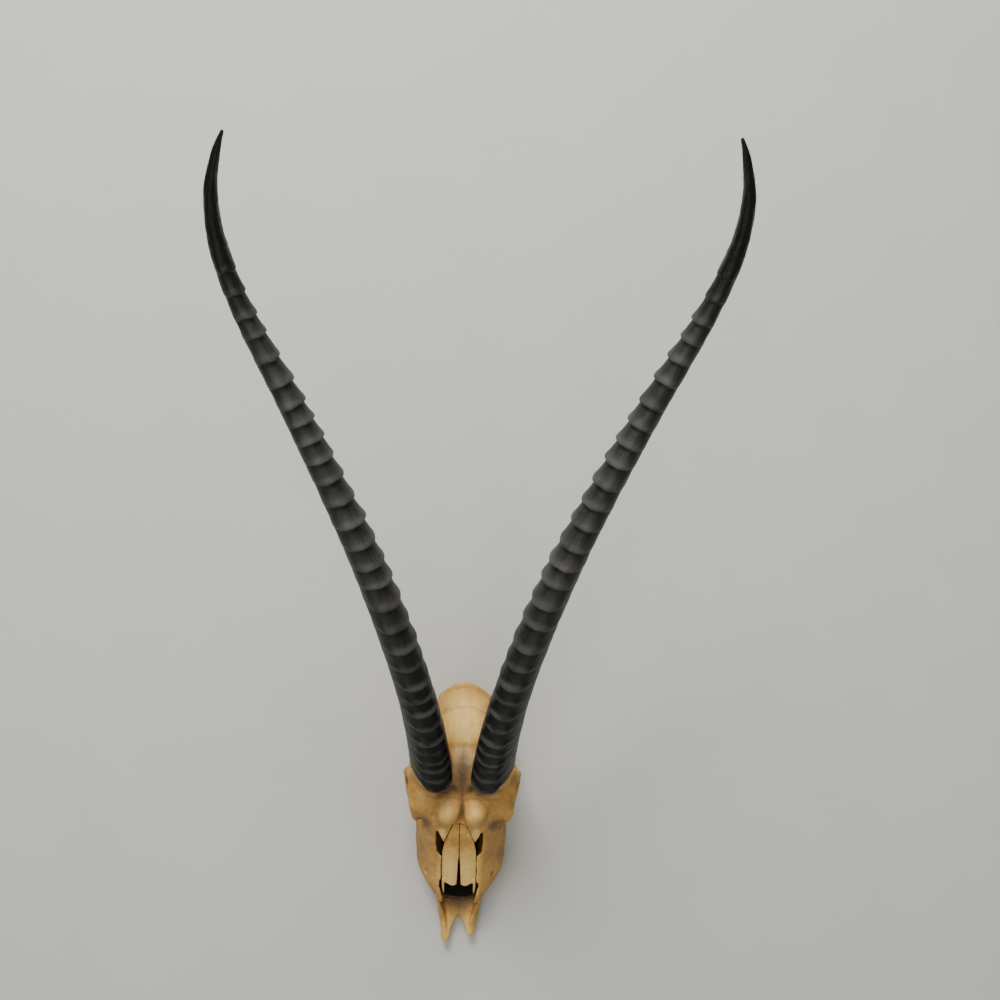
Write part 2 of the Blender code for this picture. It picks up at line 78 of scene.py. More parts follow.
# Horns: along each one, nine evenly spaced values from base to tip, angles in degrees
HORN_BASE = {-1: (-26.7, 184.0, 101.0), 1: (28.4, 184.0, 101.0)}
HORN_LENGTH = {-1: 607.0, 1: 615.0}
HORN_RISE = (47, 43, 37, 30.5, 26, 23, 25, 30.5, 40.5)
HORN_SPLAY = {
    -1: (4.3, 10.0, 16.1, 20.1, 24.1, 25.7, 26.2, 8.1, -32.6),
    1: (5.5, 10.9, 16.3, 20.3, 23.9, 26.0, 27.1, 12.6, -29.8),
}
HORN_WIDTH = (37.2, 34.0, 30.6, 27.6, 24.0, 20.9, 17.0, 11.6, 2.4)
HORN_DEPTH_RATIO = (1.18, 1.17, 1.16, 1.14, 1.12, 1.10, 1.08, 1.05, 1.0)
HORN_TURN = (14, 14, 12, 10, 8, 6, 4, 2, 0)
RING_RELIEF = (2.6, 2.8, 2.5, 2.4, 2.3, 2.1, 1.7, 0.25, 0.0)
RING_RELIEF_UNIT = 2.4
HORN_INSET = 0.5

# What is added to the half width near the tip: shares of the way there, and how much
HORN_TIP_SWELL = ((0.8, 0.85, 0.89, 0.93, 0.975, 1.0), (0.0, 0.8, 0.8, 1.5, 1.5, 0.3))

# Foot of a horn: how much higher it ends at the back, how far up that is felt, and
# where around the horn it is lowest
FOOT_SLANT = 30.0
FOOT_REACH = 90.0
FOOT_LOWEST = -15.0

# Grooves between the rings, by their distance along the horn from its base. The count
# of rings starts above zero, so that it stays there where their lines dip
FIRST_RING = 2.0
RING_GROOVES = {
    -1: (
        13, 29, 40, 54.5, 66.5, 85.5, 105, 119.5, 135.5, 155, 175, 195.5, 218.5, 240, 256.5, 275.5,
        295, 314.5, 334, 351, 367.5, 383, 397.5, 415.5, 434.5, 454.5, 469, 487.5, 504.5, 521.5, 539,
    ),
    1: (
        14.5, 32.5, 41.5, 55, 69, 86.5, 105, 121.5, 139, 160, 180, 205, 225.5, 247, 264.5, 281.5,
        301.5, 319.5, 338, 357.5, 374, 391, 408, 428, 446.5, 463, 478, 496.5, 514.5, 530, 546,
    ),
}

# Upper cheek teeth, from the second premolar to the third molar
TOOTH_LENGTHS = (8.5, 10.0, 10.5, 13.0, 15.0, 15.5)
TOOTH_WIDTHS = (6.5, 8.5, 10.5, 12.5, 13.0, 12.5)
TOOTH_X = (24.5, 26.5, 28.0, 29.3, 30.0, 29.5)
TOOTH_NAMES = ("P2", "P3", "P4", "M1", "M2", "M3")
TOOTH_START = 77.0
TOOTH_GAP = 0.5
TOOTH_HEIGHT = 19.0

# Nasal bones: station s, inner edge x, outer edge x, height of the top
NASAL_STATIONS = (
    (64.0, 2.0, 15.6, 47.5),
    (72.0, 1.7, 16.4, 52.0),
    (84.0, 1.2, 16.6, 59.0),
    (96.0, 0.5, 16.0, 66.0),
    (104.0, 0.2, 15.0, 70.6),
    (112.0, 0.2, 13.2, 75.3),
    (122.0, 0.2, 9.6, 81.2),
    (131.0, 0.2, 5.6, 86.2),
)
NASAL_THICKNESS = 1.8
NASAL_LOWERED = 0.35
NASAL_DROP = 0.011
NASAL_SLOPE = 0.55

# End of each nasal bone's outer prong
PRONG = ((14.7, 70, 48.9), (14.8, 64, 45.4), (14.6, 58.5, 42.2), (14.2, 53.5, 39.2))
PRONG_RADII = ((1.5, 1.2), (1.3, 1.0), (1.0, 0.8), (0.4, 0.3))

# Premaxilla: section of the right one at each station s, as x, z, from its inner
# lower edge round by the outside and the rim of the nose back to its floor
PREMAXILLA = (
    (-3, ((9.8, 10.6), (13.4, 10.6), (14, 11.6), (12.6, 13), (11.4, 13), (10.6, 12.8), (9.6, 12.2))),
    (2, ((8.9, 10), (15.4, 10), (16.3, 11.6), (13.2, 14.6), (11.6, 14.6), (10.6, 14), (8.7, 13))),
    (11, ((7.6, 10), (15.8, 10), (16.8, 12), (13.2, 16), (11.6, 16), (10.4, 14.2), (7.4, 13.4))),
    (18, ((5, 10.5), (16.6, 10.6), (17.8, 12.8), (13.4, 18), (11.8, 18), (10.2, 14.8), (4.8, 14))),
    (26, ((0.5, 11.5), (17.6, 11.8), (19, 14.5), (15.2, 21.6), (13.4, 21.4), (11.4, 15.4), (0.5, 15))),
    (34, ((0.3, 12.5), (18.6, 13), (20.2, 16.4), (17.6, 25.6), (15.6, 25.4), (13.4, 16.6), (0.3, 16))),
    (41.5, ((0.3, 14), (19.6, 14.6), (21.6, 19), (19.8, 30), (17.6, 30), (15.8, 18), (0.3, 17.4))),
    (44, ((16.4, 19), (19.6, 18), (21.9, 21), (20.4, 31.4), (18.2, 31.4), (17, 28), (16.2, 24))),
    (55, ((19.6, 31), (21.6, 31), (22.6, 33), (22, 38), (20, 38.4), (19.2, 36), (19, 33))),
    (63, ((18.6, 41), (19.8, 41), (20.6, 42), (20, 44), (18.8, 44.2), (18.2, 43.4), (18.2, 42))),
)
PREMAXILLA_TIP = {-1: -3.0, 1: 4.0}
PREMAXILLA_TIP_REACH = 21

# Muzzle: half sections from the bottom of the midline up to its top, as x, z
MUZZLE = (
    (42.5, ((0, 18.5), (11, 17.5), (17, 21), (19, 27), (15.8, 36), (0, 40))),
    (54, ((0, 16), (16, 15), (24, 20), (27.5, 28), (19, 42), (0, 45))),
    (66, ((0, 14), (22, 13), (31, 18), (35.5, 28), (20.5, 47.5), (0, 49))),
    (80, ((0, 13), (28, 12), (36, 17), (41, 28), (22, 54.5), (0, 57))),
    (98, ((0, 13), (30, 12), (38, 18), (42.3, 32), (24, 63.5), (0, 67))),
    (117, ((0, 13), (31, 12), (38.5, 20), (43, 37), (28, 72), (0, 78.5))),
    (135, ((0, 13), (30, 13), (37, 24), (44, 46), (34, 81), (0, 89))),
    (148, ((0, 16), (24, 16), (32, 32), (40, 58), (36, 88), (0, 96))),
    (154, ((0, 22), (14, 22), (20, 40), (26, 62), (26, 84), (0, 96))),
)

# Forehead: the roof over the orbits, back to the horn pedicles
FOREHEAD = (
    (128, ((0, 70), (16, 68), (27, 66), (35, 71), (27, 80), (0, 85))),
    (138, ((0, 72), (18, 72), (34, 76), (42, 81), (33, 88), (0, 90.5))),
    (150, ((0, 74), (20, 76), (40, 80), (47, 86), (38, 95), (0, 98))),
    (163, ((0, 76), (20, 78), (42, 80), (49.5, 87), (42, 97), (0, 103))),
    (176, ((0, 76), (20, 78), (38, 78), (48, 85), (41, 98), (0, 108))),
    (190, ((0, 76), (16, 74), (30, 72), (39, 82), (34, 97), (0, 109))),
    (202, ((0, 76), (12, 74), (22, 74), (28, 82), (24, 92), (0, 101))),
)

# Core between the orbits, from the back of the palate to the braincase
CORE = (
    (138, ((0, 24), (12, 24), (17, 40), (18, 60), (16, 80), (0, 88))),
    (152, ((0, 26), (11, 26), (14, 42), (15, 60), (16, 84), (0, 94))),
    (168, ((0, 27), (12, 27), (17, 42), (19, 60), (20, 86), (0, 100))),
    (186, ((0, 27), (14, 28), (23, 42), (27, 60), (26, 84), (0, 102))),
    (202, ((0, 26), (16, 28), (26, 42), (30, 62), (26, 84), (0, 98))),
)

# Air passage of the nose, open to the front and above
NASAL_CAVITY = (
    (20, ((0, 21), (6, 21), (10, 26), (10.5, 36), (9, 50), (0, 52))),
    (42, ((0, 21), (9, 21), (14, 26), (14.5, 36), (13, 56), (0, 58))),
    (58, ((0, 21), (13, 21), (18.5, 27), (18, 38), (15.5, 62), (0, 64))),
    (64, ((0, 21), (14, 21), (20, 27), (20, 36), (16, 46), (0, 50))),
    (80, ((0, 22), (16, 22), (25, 28), (24, 38), (17, 51), (0, 54))),
    (100, ((0, 23), (16, 23), (26, 32), (25, 46), (17, 60), (0, 64))),
    (122, ((0, 26), (14, 26), (22, 38), (22, 54), (14, 70), (0, 76))),
    (134, ((0, 34), (8, 34), (12, 44), (12, 56), (8, 66), (0, 70))),
)


# Lights: place, size and share of the key light's power. The key light stands beyond
# the horn tips, high up; the others are faint
LIGHTS = (
    ("key", (-0.35, 1.7, 1.7), 0.9, 1.0),
    ("overhead", (-0.3, 0.0, 2.4), 1.6, 0.3),
    ("front", (-0.5, -1.8, 1.3), 1.4, 0.08),
)
LIT_PLACE = (0.0, 0.05, 0.1)
CAMERA_PLACE = (21.54 * MM, 96.4 * MM)
CAMERA_TURN = 2.0


def linear(text):
    """Linear red, green, blue and alpha of an sRGB hex colour."""
    values = [int(text[i:i + 2], 16) / 255 for i in (1, 3, 5)]
    return (*(v / 12.92 if v <= 0.04045 else ((v + 0.055) / 1.055) ** 2.4 for v in values), 1.0)


def length(name, text, default, low, high):
    """Setting for a length; the numbers are millimetres."""
    return FloatProperty(
        name=name, description=text, default=default * MM, min=low * MM, max=high * MM,
        unit="LENGTH", subtype="DISTANCE",
    )


def paint(name, default):
    """Setting for a colour, given as sRGB hex."""
    return FloatVectorProperty(
        name=name + " colour", description=f"Colour of the plain {name.lower()}",
        subtype="COLOR", size=3, default=linear(default)[:3], min=0.0, max=1.0,
    )


class HornSettings(bpy.types.PropertyGroup):
    """Sizes and colours of the two horns."""

    relief: length("Ring relief", "Height of the boldest ring above the groove", 3.1, 0, 6)
    overhang: length("Ring overhang", "How far a ring's lip hangs towards the base", 1.9, 0, 4)
    grain: length("Grain depth", "Depth of the fine ridges along the horn", 0.07, 0, 1)
    stations: IntProperty(
        name="Stations", description="Rows of points along a horn", default=940, min=100, max=1500,
    )
    sides: IntProperty(
        name="Sides", description="Points around a horn", default=90, min=16, max=160,
    )
    seed: IntProperty(name="Seed", description="Seed of the rings' differences", default=7)
    colour: paint("Horn", "#232321")


class BoneSettings(bpy.types.PropertyGroup):
    """Sizes and colours of the bone and the teeth."""

    voxel: length("Detail size", "Size of the cells that the bone is fused with", 0.85, 0.4, 4)
    roughening: length("Unevenness", "Height of the broad unevenness of the bone", 0.45, 0, 2)
    colour: paint("Bone", "#bd8b40")
    enamel: paint("Enamel", "#cbb98f")


class StageSettings(bpy.types.PropertyGroup):
    """Floor, light and camera."""

    camera_height: length("Camera height", "Height of the camera above the floor", 1230, 300, 5000)
    floor_colour: paint("Floor", "#c4c4bd")
    light: FloatProperty(
        name="Key light", description="Power of the key light in watts", default=70.0, min=0.0,
    )


def between(a, b, c, d, t):
    """Place at t on the way from b to c, on a smooth curve from a through both to d."""
    bend = (2 * a - 5 * b + 4 * c - d) * t * t + (3 * b - a - 3 * c + d) * t**3
    return 0.5 * (2 * b + (c - a) * t + bend)


def smooth_path(points, steps, closed=False):
    """Points along the smooth curve through the given ones, steps to a span."""
    known = [np.array(point, float) for point in points]
    count = len(known)
    path = []
    for i in range(count if closed else count - 1):
        if closed:
            four = [known[(i + k) % count] for k in (-1, 0, 1, 2)]
        else:
            four = [known[min(max(i + k, 0), count - 1)] for k in (-1, 0, 1, 2)]
        path.extend(between(*four, j / steps) for j in range(steps))
    if not closed:
        path.append(known[-1])
    return path


def value_at(values, t):
    """Smooth value at t, from 0 to 1, through evenly spaced values."""
    place = min(max(t, 0.0), 1.0) * (len(values) - 1)
    i = min(int(place), len(values) - 2)
    four = [values[min(max(i + k, 0), len(values) - 1)] for k in (-1, 0, 1, 2)]
    return between(*four, place - i)


def skin(loops, closed=False):
    """Solid through loops of points that all have the same count."""
    count = len(loops[0])
    points = [tuple(point) for loop in loops for point in loop]
    faces = []
    for i in range(len(loops) if closed else len(loops) - 1):
        a = i * count
        b = (i + 1) % len(loops) * count
        for j in range(count):
            k = (j + 1) % count
            faces.append((a + j, a + k, b + k))
            faces.append((a + j, b + k, b + j))
    if not closed:
        faces.append(tuple(reversed(range(count))))
        faces.append(tuple(range(len(points) - count, len(points))))
    return outward((points, faces))


def outward(shape):
    """The shape with its faces pointing out."""
    points, faces = shape
    p = np.array(points)
    volume = 0.0
    for face in faces:
        for i in range(1, len(face) - 1):
            volume += np.dot(p[face[0]], np.cross(p[face[i]], p[face[i + 1]]))
    if volume < 0:
        faces = [tuple(reversed(face)) for face in faces]
    return points, faces


def grown(shape, by):
    """The shape with every point moved out along the surface's normal."""
    points, faces = shape
    p = np.array(points, float)
    normals = np.zeros_like(p)
    for face in faces:
        for i in range(1, len(face) - 1):
            a, b, c = p[face[0]], p[face[i]], p[face[i + 1]]
            facing = np.cross(b - a, c - a)
            normals[[face[0], face[i], face[i + 1]]] += facing / np.linalg.norm(facing)
    normals /= np.linalg.norm(normals, axis=1)[:, None]
    return [tuple(point) for point in p + normals * by], faces


def both(shape):
    """The shape and its mirror image across the midline."""
    points, faces = shape
    flipped = [(-x, s, z) for x, s, z in points]
    return [shape, (flipped, [tuple(reversed(face)) for face in faces])]


def ball(centre, radii, rings=10, sides=18):
    """Ellipsoid with its poles along s."""
    loops = []
    for i in range(rings + 1):
        polar = radians(180.0 * (i + 0.25) / (rings + 0.5))
        loop = []
        for j in range(sides):
            turn = radians(360.0 * j / sides)
            loop.append((
                centre[0] + radii[0] * sin(polar) * cos(turn),
                centre[1] - radii[1] * cos(polar),
                centre[2] + radii[2] * sin(polar) * sin(turn),
            ))
        loops.append(loop)
    return skin(loops)


def rod(points, radii, closed=False, sides=12, steps=4):
    """Tapered tube through points; each radius is one number, or across and up."""
    pairs = [r if isinstance(r, tuple) else (r, r) for r in radii]
    stations = [tuple(p) + pair for p, pair in zip(points, pairs)]
    path = smooth_path(stations, steps, closed)
    loops = []
    for i, station in enumerate(path):
        before = path[i - 1] if closed or i else station
        after = path[(i + 1) % len(path)] if closed or i < len(path) - 1 else station
        along = (after - before)[:3]
        along /= np.linalg.norm(along)
        side = np.cross(along, (0, 0, 1))
        if np.linalg.norm(side) < 0.2:
            side = np.cross(along, (0, 1, 0))
        side /= np.linalg.norm(side)
        up = np.cross(side, along)
        loop = []
        for j in range(sides):
            turn = radians(360.0 * j / sides)
            reach = side * station[3] * cos(turn) + up * station[4] * sin(turn)
            loop.append(station[:3] + reach)
        loops.append(loop)
    return skin(loops, closed)


def loft(stations, steps=4):
    """Symmetric solid through half sections."""
    rows = [[(x, s, z) for x, z in half] for s, half in stations]
    count = len(rows[0])
    paths = [smooth_path([row[i] for row in rows], steps) for i in range(count)]
    loops = []
    for i in range(len(paths[0])):
        half = [path[i] for path in paths]
        left = [np.array((-p[0], p[1], p[2])) for p in reversed(half[1:-1])]
        loops.append(smooth_path(half + left, 3, closed=True))
    return skin(loops)


def prism(outline, bottom, top):
    """Upright solid on a plan outline of x, s points."""
    return skin([[(x, s, bottom) for x, s in outline], [(x, s, top) for x, s in outline]])


def sloping_prism(outline, bottom, top):
    """Prism whose two ends slope up along the muzzle, from their heights at s 60."""
    slope = 0.57
    low = [(x, s, bottom + (s - 60) * slope) for x, s in outline]
    high = [(x, s, top + (s - 60) * slope) for x, s in outline]
    return skin([low, high])


def joined(shapes):
    """Points and faces of several shapes as one."""
    points = []
    faces = []
    for own_points, own_faces in shapes:
        start = len(points)
        points.extend(own_points)
        faces.extend(tuple(i + start for i in face) for face in own_faces)
    return points, faces


def placed_mesh(name, points, edges, faces):
    """Object in the scene from points in metres."""
    mesh = bpy.data.meshes.new(name)
    mesh.from_pydata(points, edges, faces)
    mesh.update()
    built = bpy.data.objects.new(name, mesh)
    bpy.context.scene.collection.objects.link(built)
    return built


def new_object(name, shapes):
    """One object from shapes in skull millimetres."""
    points, faces = joined(shapes)
    placed = [((x - MIDDLE_X) * MM, (s - MIDDLE_S) * MM, z * MM) for x, s, z in points]
    return placed_mesh(name, placed, [], faces)


def modified(target, kind, **settings):
    """Apply one modifier to the object."""
    modifier = target.modifiers.new(kind, kind)
    for name, value in settings.items():
        setattr(modifier, name, value)
    graph = bpy.context.evaluated_depsgraph_get()
    mesh = bpy.data.meshes.new_from_object(target.evaluated_get(graph))
    target.modifiers.clear()
    target.data = mesh


def fused(target, voxel, smoothing):
    """One even skin around everything in the object."""
    modified(target, "REMESH", mode="VOXEL", voxel_size=voxel * MM)
    if smoothing:
        modified(target, "SMOOTH", factor=0.5, iterations=smoothing)


def cut(target, cutter):
    """Take one object out of another and remove it."""
    modified(target, "BOOLEAN", operation="DIFFERENCE", object=cutter, solver="MANIFOLD")
    bpy.data.objects.remove(cutter)


def nasal_slot():
    """Opening in the roof of the muzzle that both nasal bones lie in."""
    outline = [(outer + GAP, s) for s, _, outer, _ in NASAL_STATIONS]
    outline[0] = (outline[0][0] + 0.6, 58.0)
    outline[-1] = (outline[-1][0], outline[-1][1] + GAP)
    mirrored = [(-x, s) for x, s in reversed(outline)]
    points = outline + mirrored
    return sloping_prism(points, 34, 61)


def skull_forms():
    """Everything that is fused into the skull."""
    forms = [loft(MUZZLE), loft(FOREHEAD), loft(CORE)]
    rim = (
        (40, 131, 64), (45.5, 136, 49), (50.8, 149, 43), (53, 163, 49),
        (52.5, 174, 64), (47.5, 167, 83), (46.5, 150, 88), (42.5, 137, 81),
    )
    widths = [3.4, (2.6, 3.4), (2.0, 3.6), (1.7, 3.8), (2.2, 3.4), 3.2, 3.4, 3.4]
    forms += both(rod(rim, widths, closed=True))
    corner = ((43, 170, 89), (48, 176, 83), (50.5, 178, 73), (51, 175, 62))
    forms += both(rod(corner, [4.5, 3.4, 2.6, 2.4]))
    arch = (
        (43, 128, 40), (47, 140, 40), (50, 158, 41), (48.5, 176, 46), (43, 194, 51), (35, 206, 55),
    )
    forms += both(rod(arch, [(3.4, 7), (3.4, 6), (3, 5), (2.6, 4.6), (2.8, 4.8), (4, 6)]))
    bar = ((50.5, 168, 44), (51.8, 173, 56), (50.5, 175, 74), (45, 172, 90))
    forms += both(rod(bar, [(2.4, 3.2), (2.2, 3), (2.6, 3.2), 5]))
    forms += both(ball((12.3, 142, 86.5), (11.8, 13.5, 12.5)))
    pedicle = ((25, 170, 84), (26.6, 180, 96), (28, 190, 107), (30.5, 204, 122))
    forms += both(rod(pedicle, [(17.5, 21), (18, 21.5), (18, 21.5), (17, 20)]))
    forms += [ball((0, 205, 64), (31.5, 36, 36)), ball((0, 222, 54), (29.5, 31, 32))]
    crest = (
        (-23, 234, 46), (-19.4, 244, 53), (-11.5, 252, 60), (0, 255.5, 63),
        (11.5, 252, 60), (19.4, 244, 53), (23, 234, 46),
    )
    forms += [rod(crest, [2.9] * 7)]
    forms += [ball((0, 239, 42), (26, 11, 24))]
    condyle = ((8, 236, 34), (12, 236.5, 22), (13, 236.5, 9), (12.5, 238, -3))
    forms += both(rod(condyle, [(5, 6), 7, 6.5, 6]))
    beside_ear = ((23, 226, 38), (23.5, 230.5, 22), (23, 233, 8), (22.5, 234, -3))
    forms += both(rod(beside_ear, [7, 5, 4, 3.4]))
    forms += both(ball((18, 228, 22), (8, 13, 13)))
    forms += both(rod(((22, 222, 34), (30, 219, 38), (37, 217, 41)), [6, 5, 4.6]))
    forms += both(ball((31, 212, 46), (8, 12, 11)))
    skull_base = ((0, 246, 16), (0, 236, 19), (0, 215, 24), (0, 190, 28))
    forms += [rod(skull_base, [(10, 5), (10, 6), (9, 7), (8, 7)])]
    pterygoid = ((12, 146, 22), (11, 158, 18), (10, 172, 19), (9, 190, 26))
    forms += both(rod(pterygoid, [(2.2, 8), (1.8, 8), (1.8, 8), (2, 6)]))
    forms += both(ball((29.5, 150, 24), (7, 7, 11)))
    return forms


# Outline from above of the gap beside the nasal bone, and of the edge over the orbit
FISSURE = (
    (15.4, 98.0), (20.6, 98.4), (21.5, 106), (21.6, 116), (21.4, 123), (20.0, 123),
    (17.2, 115.5), (13.6, 110), (14.4, 103),
)
ORBIT_EDGE = (
    (52, 138), (49.2, 144), (47.4, 150), (47.4, 156), (48.1, 162), (49.1, 167), (50.6, 170.5),
    (60, 170.5), (60, 138),
)


def skull_hollows():
    """Everything that is hollowed out of the fused skull."""
    hollows = [loft(NASAL_CAVITY)]
    hollows += both(ball((46, 151.5, 66), (29, 18, 18.5)))
    hollows += both(ball((44, 191, 66), (13, 15, 17)))
    hollows += both(prism(FISSURE, 50, 90))
    slit = ((16.6, 60), (18.2, 62), (18.4, 80), (17.8, 98), (16.2, 98), (16.8, 80))
    hollows += both(sloping_prism(slit, 30, 62))
    hollows += both(ball((44, 127, 62), (10.5, 12, 11)))
    hollows += both(rod(((42, 66, 36), (27, 76, 38)), [2.6, 2.6]))
    hollows += [rod(((0, 275, 33), (0, 228, 36)), [(9.5, 9), (9, 8)])]
    hollows += both(rod(((46, 216, 43), (28, 220, 39)), [2.6, 2.4]))
    vault = (
        (66, ((0, 2), (8, 2), (15, 4), (15, 8), (10, 13), (0, 15))),
        (80, ((0, 2), (10, 2), (18, 4), (19, 9), (14, 15), (0, 17))),
        (110, ((0, 2), (12, 2), (21, 4), (21.5, 10), (16, 16), (0, 18))),
        (140, ((0, 2), (12, 2), (21, 4), (21.5, 10), (16, 16.5), (0, 18.5))),
        (158, ((0, 2), (10, 2), (20, 4), (20, 10), (14, 15.5), (0, 17.5))),
    )
    hollows += [loft(vault)]
    hollows += [rod(((0, 140, 24), (0, 160, 27), (0, 190, 20)), [(7.5, 5), (8, 8), (7, 10)])]
    return hollows


def read_surface(piece):
    """Points, normals and edges of a piece, the points in skull millimetres."""
    mesh = piece.data
    points = np.zeros(len(mesh.vertices) * 3)
    mesh.vertices.foreach_get("co", points)
    normals = np.zeros(len(mesh.vertices) * 3)
    mesh.vertex_normals.foreach_get("vector", normals)
    edges = np.zeros(len(mesh.edges) * 2, int)
    mesh.edges.foreach_get("vertices", edges)
    points = points.reshape(-1, 3) / MM + (MIDDLE_X, MIDDLE_S, 0)
    return points, normals.reshape(-1, 3), edges.reshape(-1, 2)


def write_surface(piece, points):
    """Put the points back, from skull millimetres."""
    placed = (points - (MIDDLE_X, MIDDLE_S, 0)) * MM
    piece.data.vertices.foreach_set("co", placed.ravel())
    piece.data.update()


def store(piece, name, values):
    """Keep one number for each point, for the materials."""
    layer = piece.data.attributes.get(name)
    layer = layer or piece.data.attributes.new(name, "FLOAT", "POINT")
    layer.data.foreach_set("value", np.clip(values, 0.0, 1.0))


def softened(values, edges, times):
    """The values, evened out between neighbouring points."""
    count = np.bincount(edges.ravel(), minlength=len(values)) + 1.0
    for _ in range(times):
        total = values.copy()
        np.add.at(total, edges[:, 0], values[edges[:, 1]])
        np.add.at(total, edges[:, 1], values[edges[:, 0]])
        values = total / count
    return values


# Drawing planes for lines on the bone: the two axes kept, the axis that faces the
# eye and its sign. Both halves of the skull get a line that has x in it. A line is
# left out where the bone turns away from the eye.
WANDER_PER_MM = 0.45
FACING_LEAST = 0.08
PLANES = {"top": (0, 1, 2, 1), "under": (0, 1, 2, -1), "side": (1, 2, 0, 1), "back": (0, 2, 1, 1)}


def rising(values, low, high):
    """0 up to the low value, 1 from the high one on, and even between them."""
    return np.clip((values - low) / (high - low), 0.0, 1.0)


def folded(points):
    """Both halves of the skull laid on one, about its slightly crooked midline."""
    even = points.copy()
    even[:, 0] = np.abs(even[:, 0] - crook(points))
    return even


def crook(points):
    """How far the midline lies to the right of the middle: up to 1.9 on the forehead,
    fading towards the nose, the back of the head and the lower parts."""
    along = np.interp(points[:, 1], (126, 145, 188, 246), (0.0, 1.9, 1.9, 0.6))
    return along * rising(points[:, 2], 55.0, 85.0)


def closeness(points, normals, plane, path, width, wander=0.0):
    """1 on a drawn line, falling to 0 away from it, for every point."""
    across, along, facing, sign = PLANES[plane]
    even = folded(points)
    turned = normals[:, facing] * sign
    if facing == 0:
        turned = normals[:, 0] * np.sign(points[:, 0])
    line = np.array(smooth_path(path, 6))
    if wander:
        for i, place in enumerate(line):
            where = Vector((place[0] * WANDER_PER_MM, place[1] * WANDER_PER_MM, len(path)))
            shift = noise.noise_vector(where)
            line[i] = place + np.array(shift[:2]) * wander
    reach = 3 * width
    low = line.min(0) - reach
    high = line.max(0) + reach
    flat = even[:, (across, along)]
    near = np.all((flat > low) & (flat < high), axis=1) & (turned > FACING_LEAST)
    near = np.flatnonzero(near)
    best = np.full(len(near), 1e9)
    spots = flat[near]
    for a, b in zip(line[:-1], line[1:]):
        run = b - a
        t = np.clip(((spots - a) @ run) / max(run @ run, 1e-9), 0, 1)
        best = np.minimum(best, np.linalg.norm(spots - a - t[:, None] * run, axis=1))
    value = np.zeros(len(points))
    value[near] = np.exp(-((best / width) ** 2)) * rising(turned[near], 0.0, 0.25)
    return value


def spot(points, centre, radii):
    """1 at a place on both halves of the skull, falling to 0 at its radii."""
    away = (folded(points) - centre) / radii
    return np.clip(1.0 - np.sum(away * away, axis=1), 0.0, 1.0) ** 2


def unevenness(points, cell, octaves):
    """Smooth noise at every point, from about -1 to 1, with lumps of that size."""
    scaled = points / cell
    return np.array([noise.fractal(Vector(p), 1.0, 2.0, octaves) for p in scaled.tolist()])


# Sutures, as plane, path, width, wander and how clearly they show
SUTURES = (
    ("top", ((0, 132), (0, 150), (0, 170), (0, 190), (0, 207)), 0.8, 1.0, 0.4),
    ("top", ((21.5, 120), (25, 125), (31, 131), (38, 136)), 0.6, 1.2, 0.35),
    ("top", ((22.5, 106), (28, 106), (35, 109), (42, 115)), 0.6, 1.2, 0.25),
    ("side", ((117, 42), (121, 50), (127, 49), (134, 50)), 0.7, 1.0, 0.4),
    ("side", ((112, 46), (119, 36), (128, 30), (140, 30)), 0.7, 1.2, 0.5),
    ("side", ((168, 38), (178, 44), (188, 53)), 0.7, 0.6, 0.7),
    ("top", ((0, 207), (9, 206), (17, 203), (24, 197)), 0.7, 2.0, 0.3),
    ("side", ((199, 80), (207, 70), (222, 67), (236, 60), (244, 50)), 0.7, 1.2, 0.6),
    ("top", ((0, 238), (9, 237), (17, 233), (25, 226)), 0.8, 1.8, 0.35),
    ("under", ((0, 45), (0, 80), (0, 120), (0, 146)), 0.6, 0.5, 0.7),
    ("under", ((0, 118), (9, 119), (16, 124), (20, 132)), 0.6, 1.0, 0.6),
    ("under", ((0, 206), (5, 206), (9, 207)), 0.7, 0.6, 0.6),
    ("back", ((0, 52), (9, 50), (19, 44), (24, 34)), 0.7, 1.0, 0.5),
)

# Wider channels and ridges, as plane, path, width and depth into the bone
CHANNELS = (
    ("top", ((0, 134), (0, 146), (0, 158)), 2.6, 1.6),
    ("top", ((3, 154), (8, 156.5), (14, 157), (20, 154), (24.5, 147), (25.5, 138)), 2.3, 1.5),
    ("top", ((0, 160), (0, 176), (0, 194)), 4.5, 1.6),
    ("top", ((6, 162), (14, 161.5), (25, 163), (36, 166)), 3.2, 1.6),
    ("top", ((28, 92), (27, 104), (29, 114)), 5.0, 0.8),
    ("side", ((64, 30), (74, 37), (84, 41)), 3.0, 0.8),
    ("top", ((23, 205), (26, 216), (26, 228), (22, 242)), 1.8, -0.9),
    ("back", ((0, 40), (0, 48), (0, 58)), 1.8, -1.4),
    ("back", ((10, 46), (12, 52), (14, 56)), 3.5, 1.2),
    ("side", ((134, 40), (150, 36), (168, 38), (184, 44)), 2.0, -0.6),
    ("side", ((92, 20), (106, 24), (118, 27), (128, 29)), 3.0, -1.1),
    ("under", ((11, 74), (12, 100), (12, 132)), 2.2, 0.8),
    ("under", ((0, 210), (0, 225), (0, 238)), 2.5, -0.8),
)

# Round bosses and dents, as centre, radii and depth into the bone
BOSSES = (
    ((12.4, 143, 96), (12.5, 13.5, 18), -2.6),
    ((33.5, 130, 76), (8.5, 10, 14), 3.4),
    ((9.5, 166, 107), (5.5, 9, 12), 2.6),
    ((30, 152, 100), (10, 12, 12), 1.4),
    ((36, 86, 44), (14, 20, 16), 1.4),
    ((19, 222, 84), (14, 16, 14), -0.9),
    ((0, 214, 98), (10, 14, 12), 0.7),
    ((22, 163, 108), (18, 6, 14), 1.6),
)

# Regions with vessel holes: how many, low and high corner, and the seed of their places
PITTED = ((260, (6, 150, 60), (46, 182, 120), 3), (120, (24, 60, 10), (50, 140, 70), 4))
PIT_RADIUS = 0.7
PIT_DEPTH = 0.5

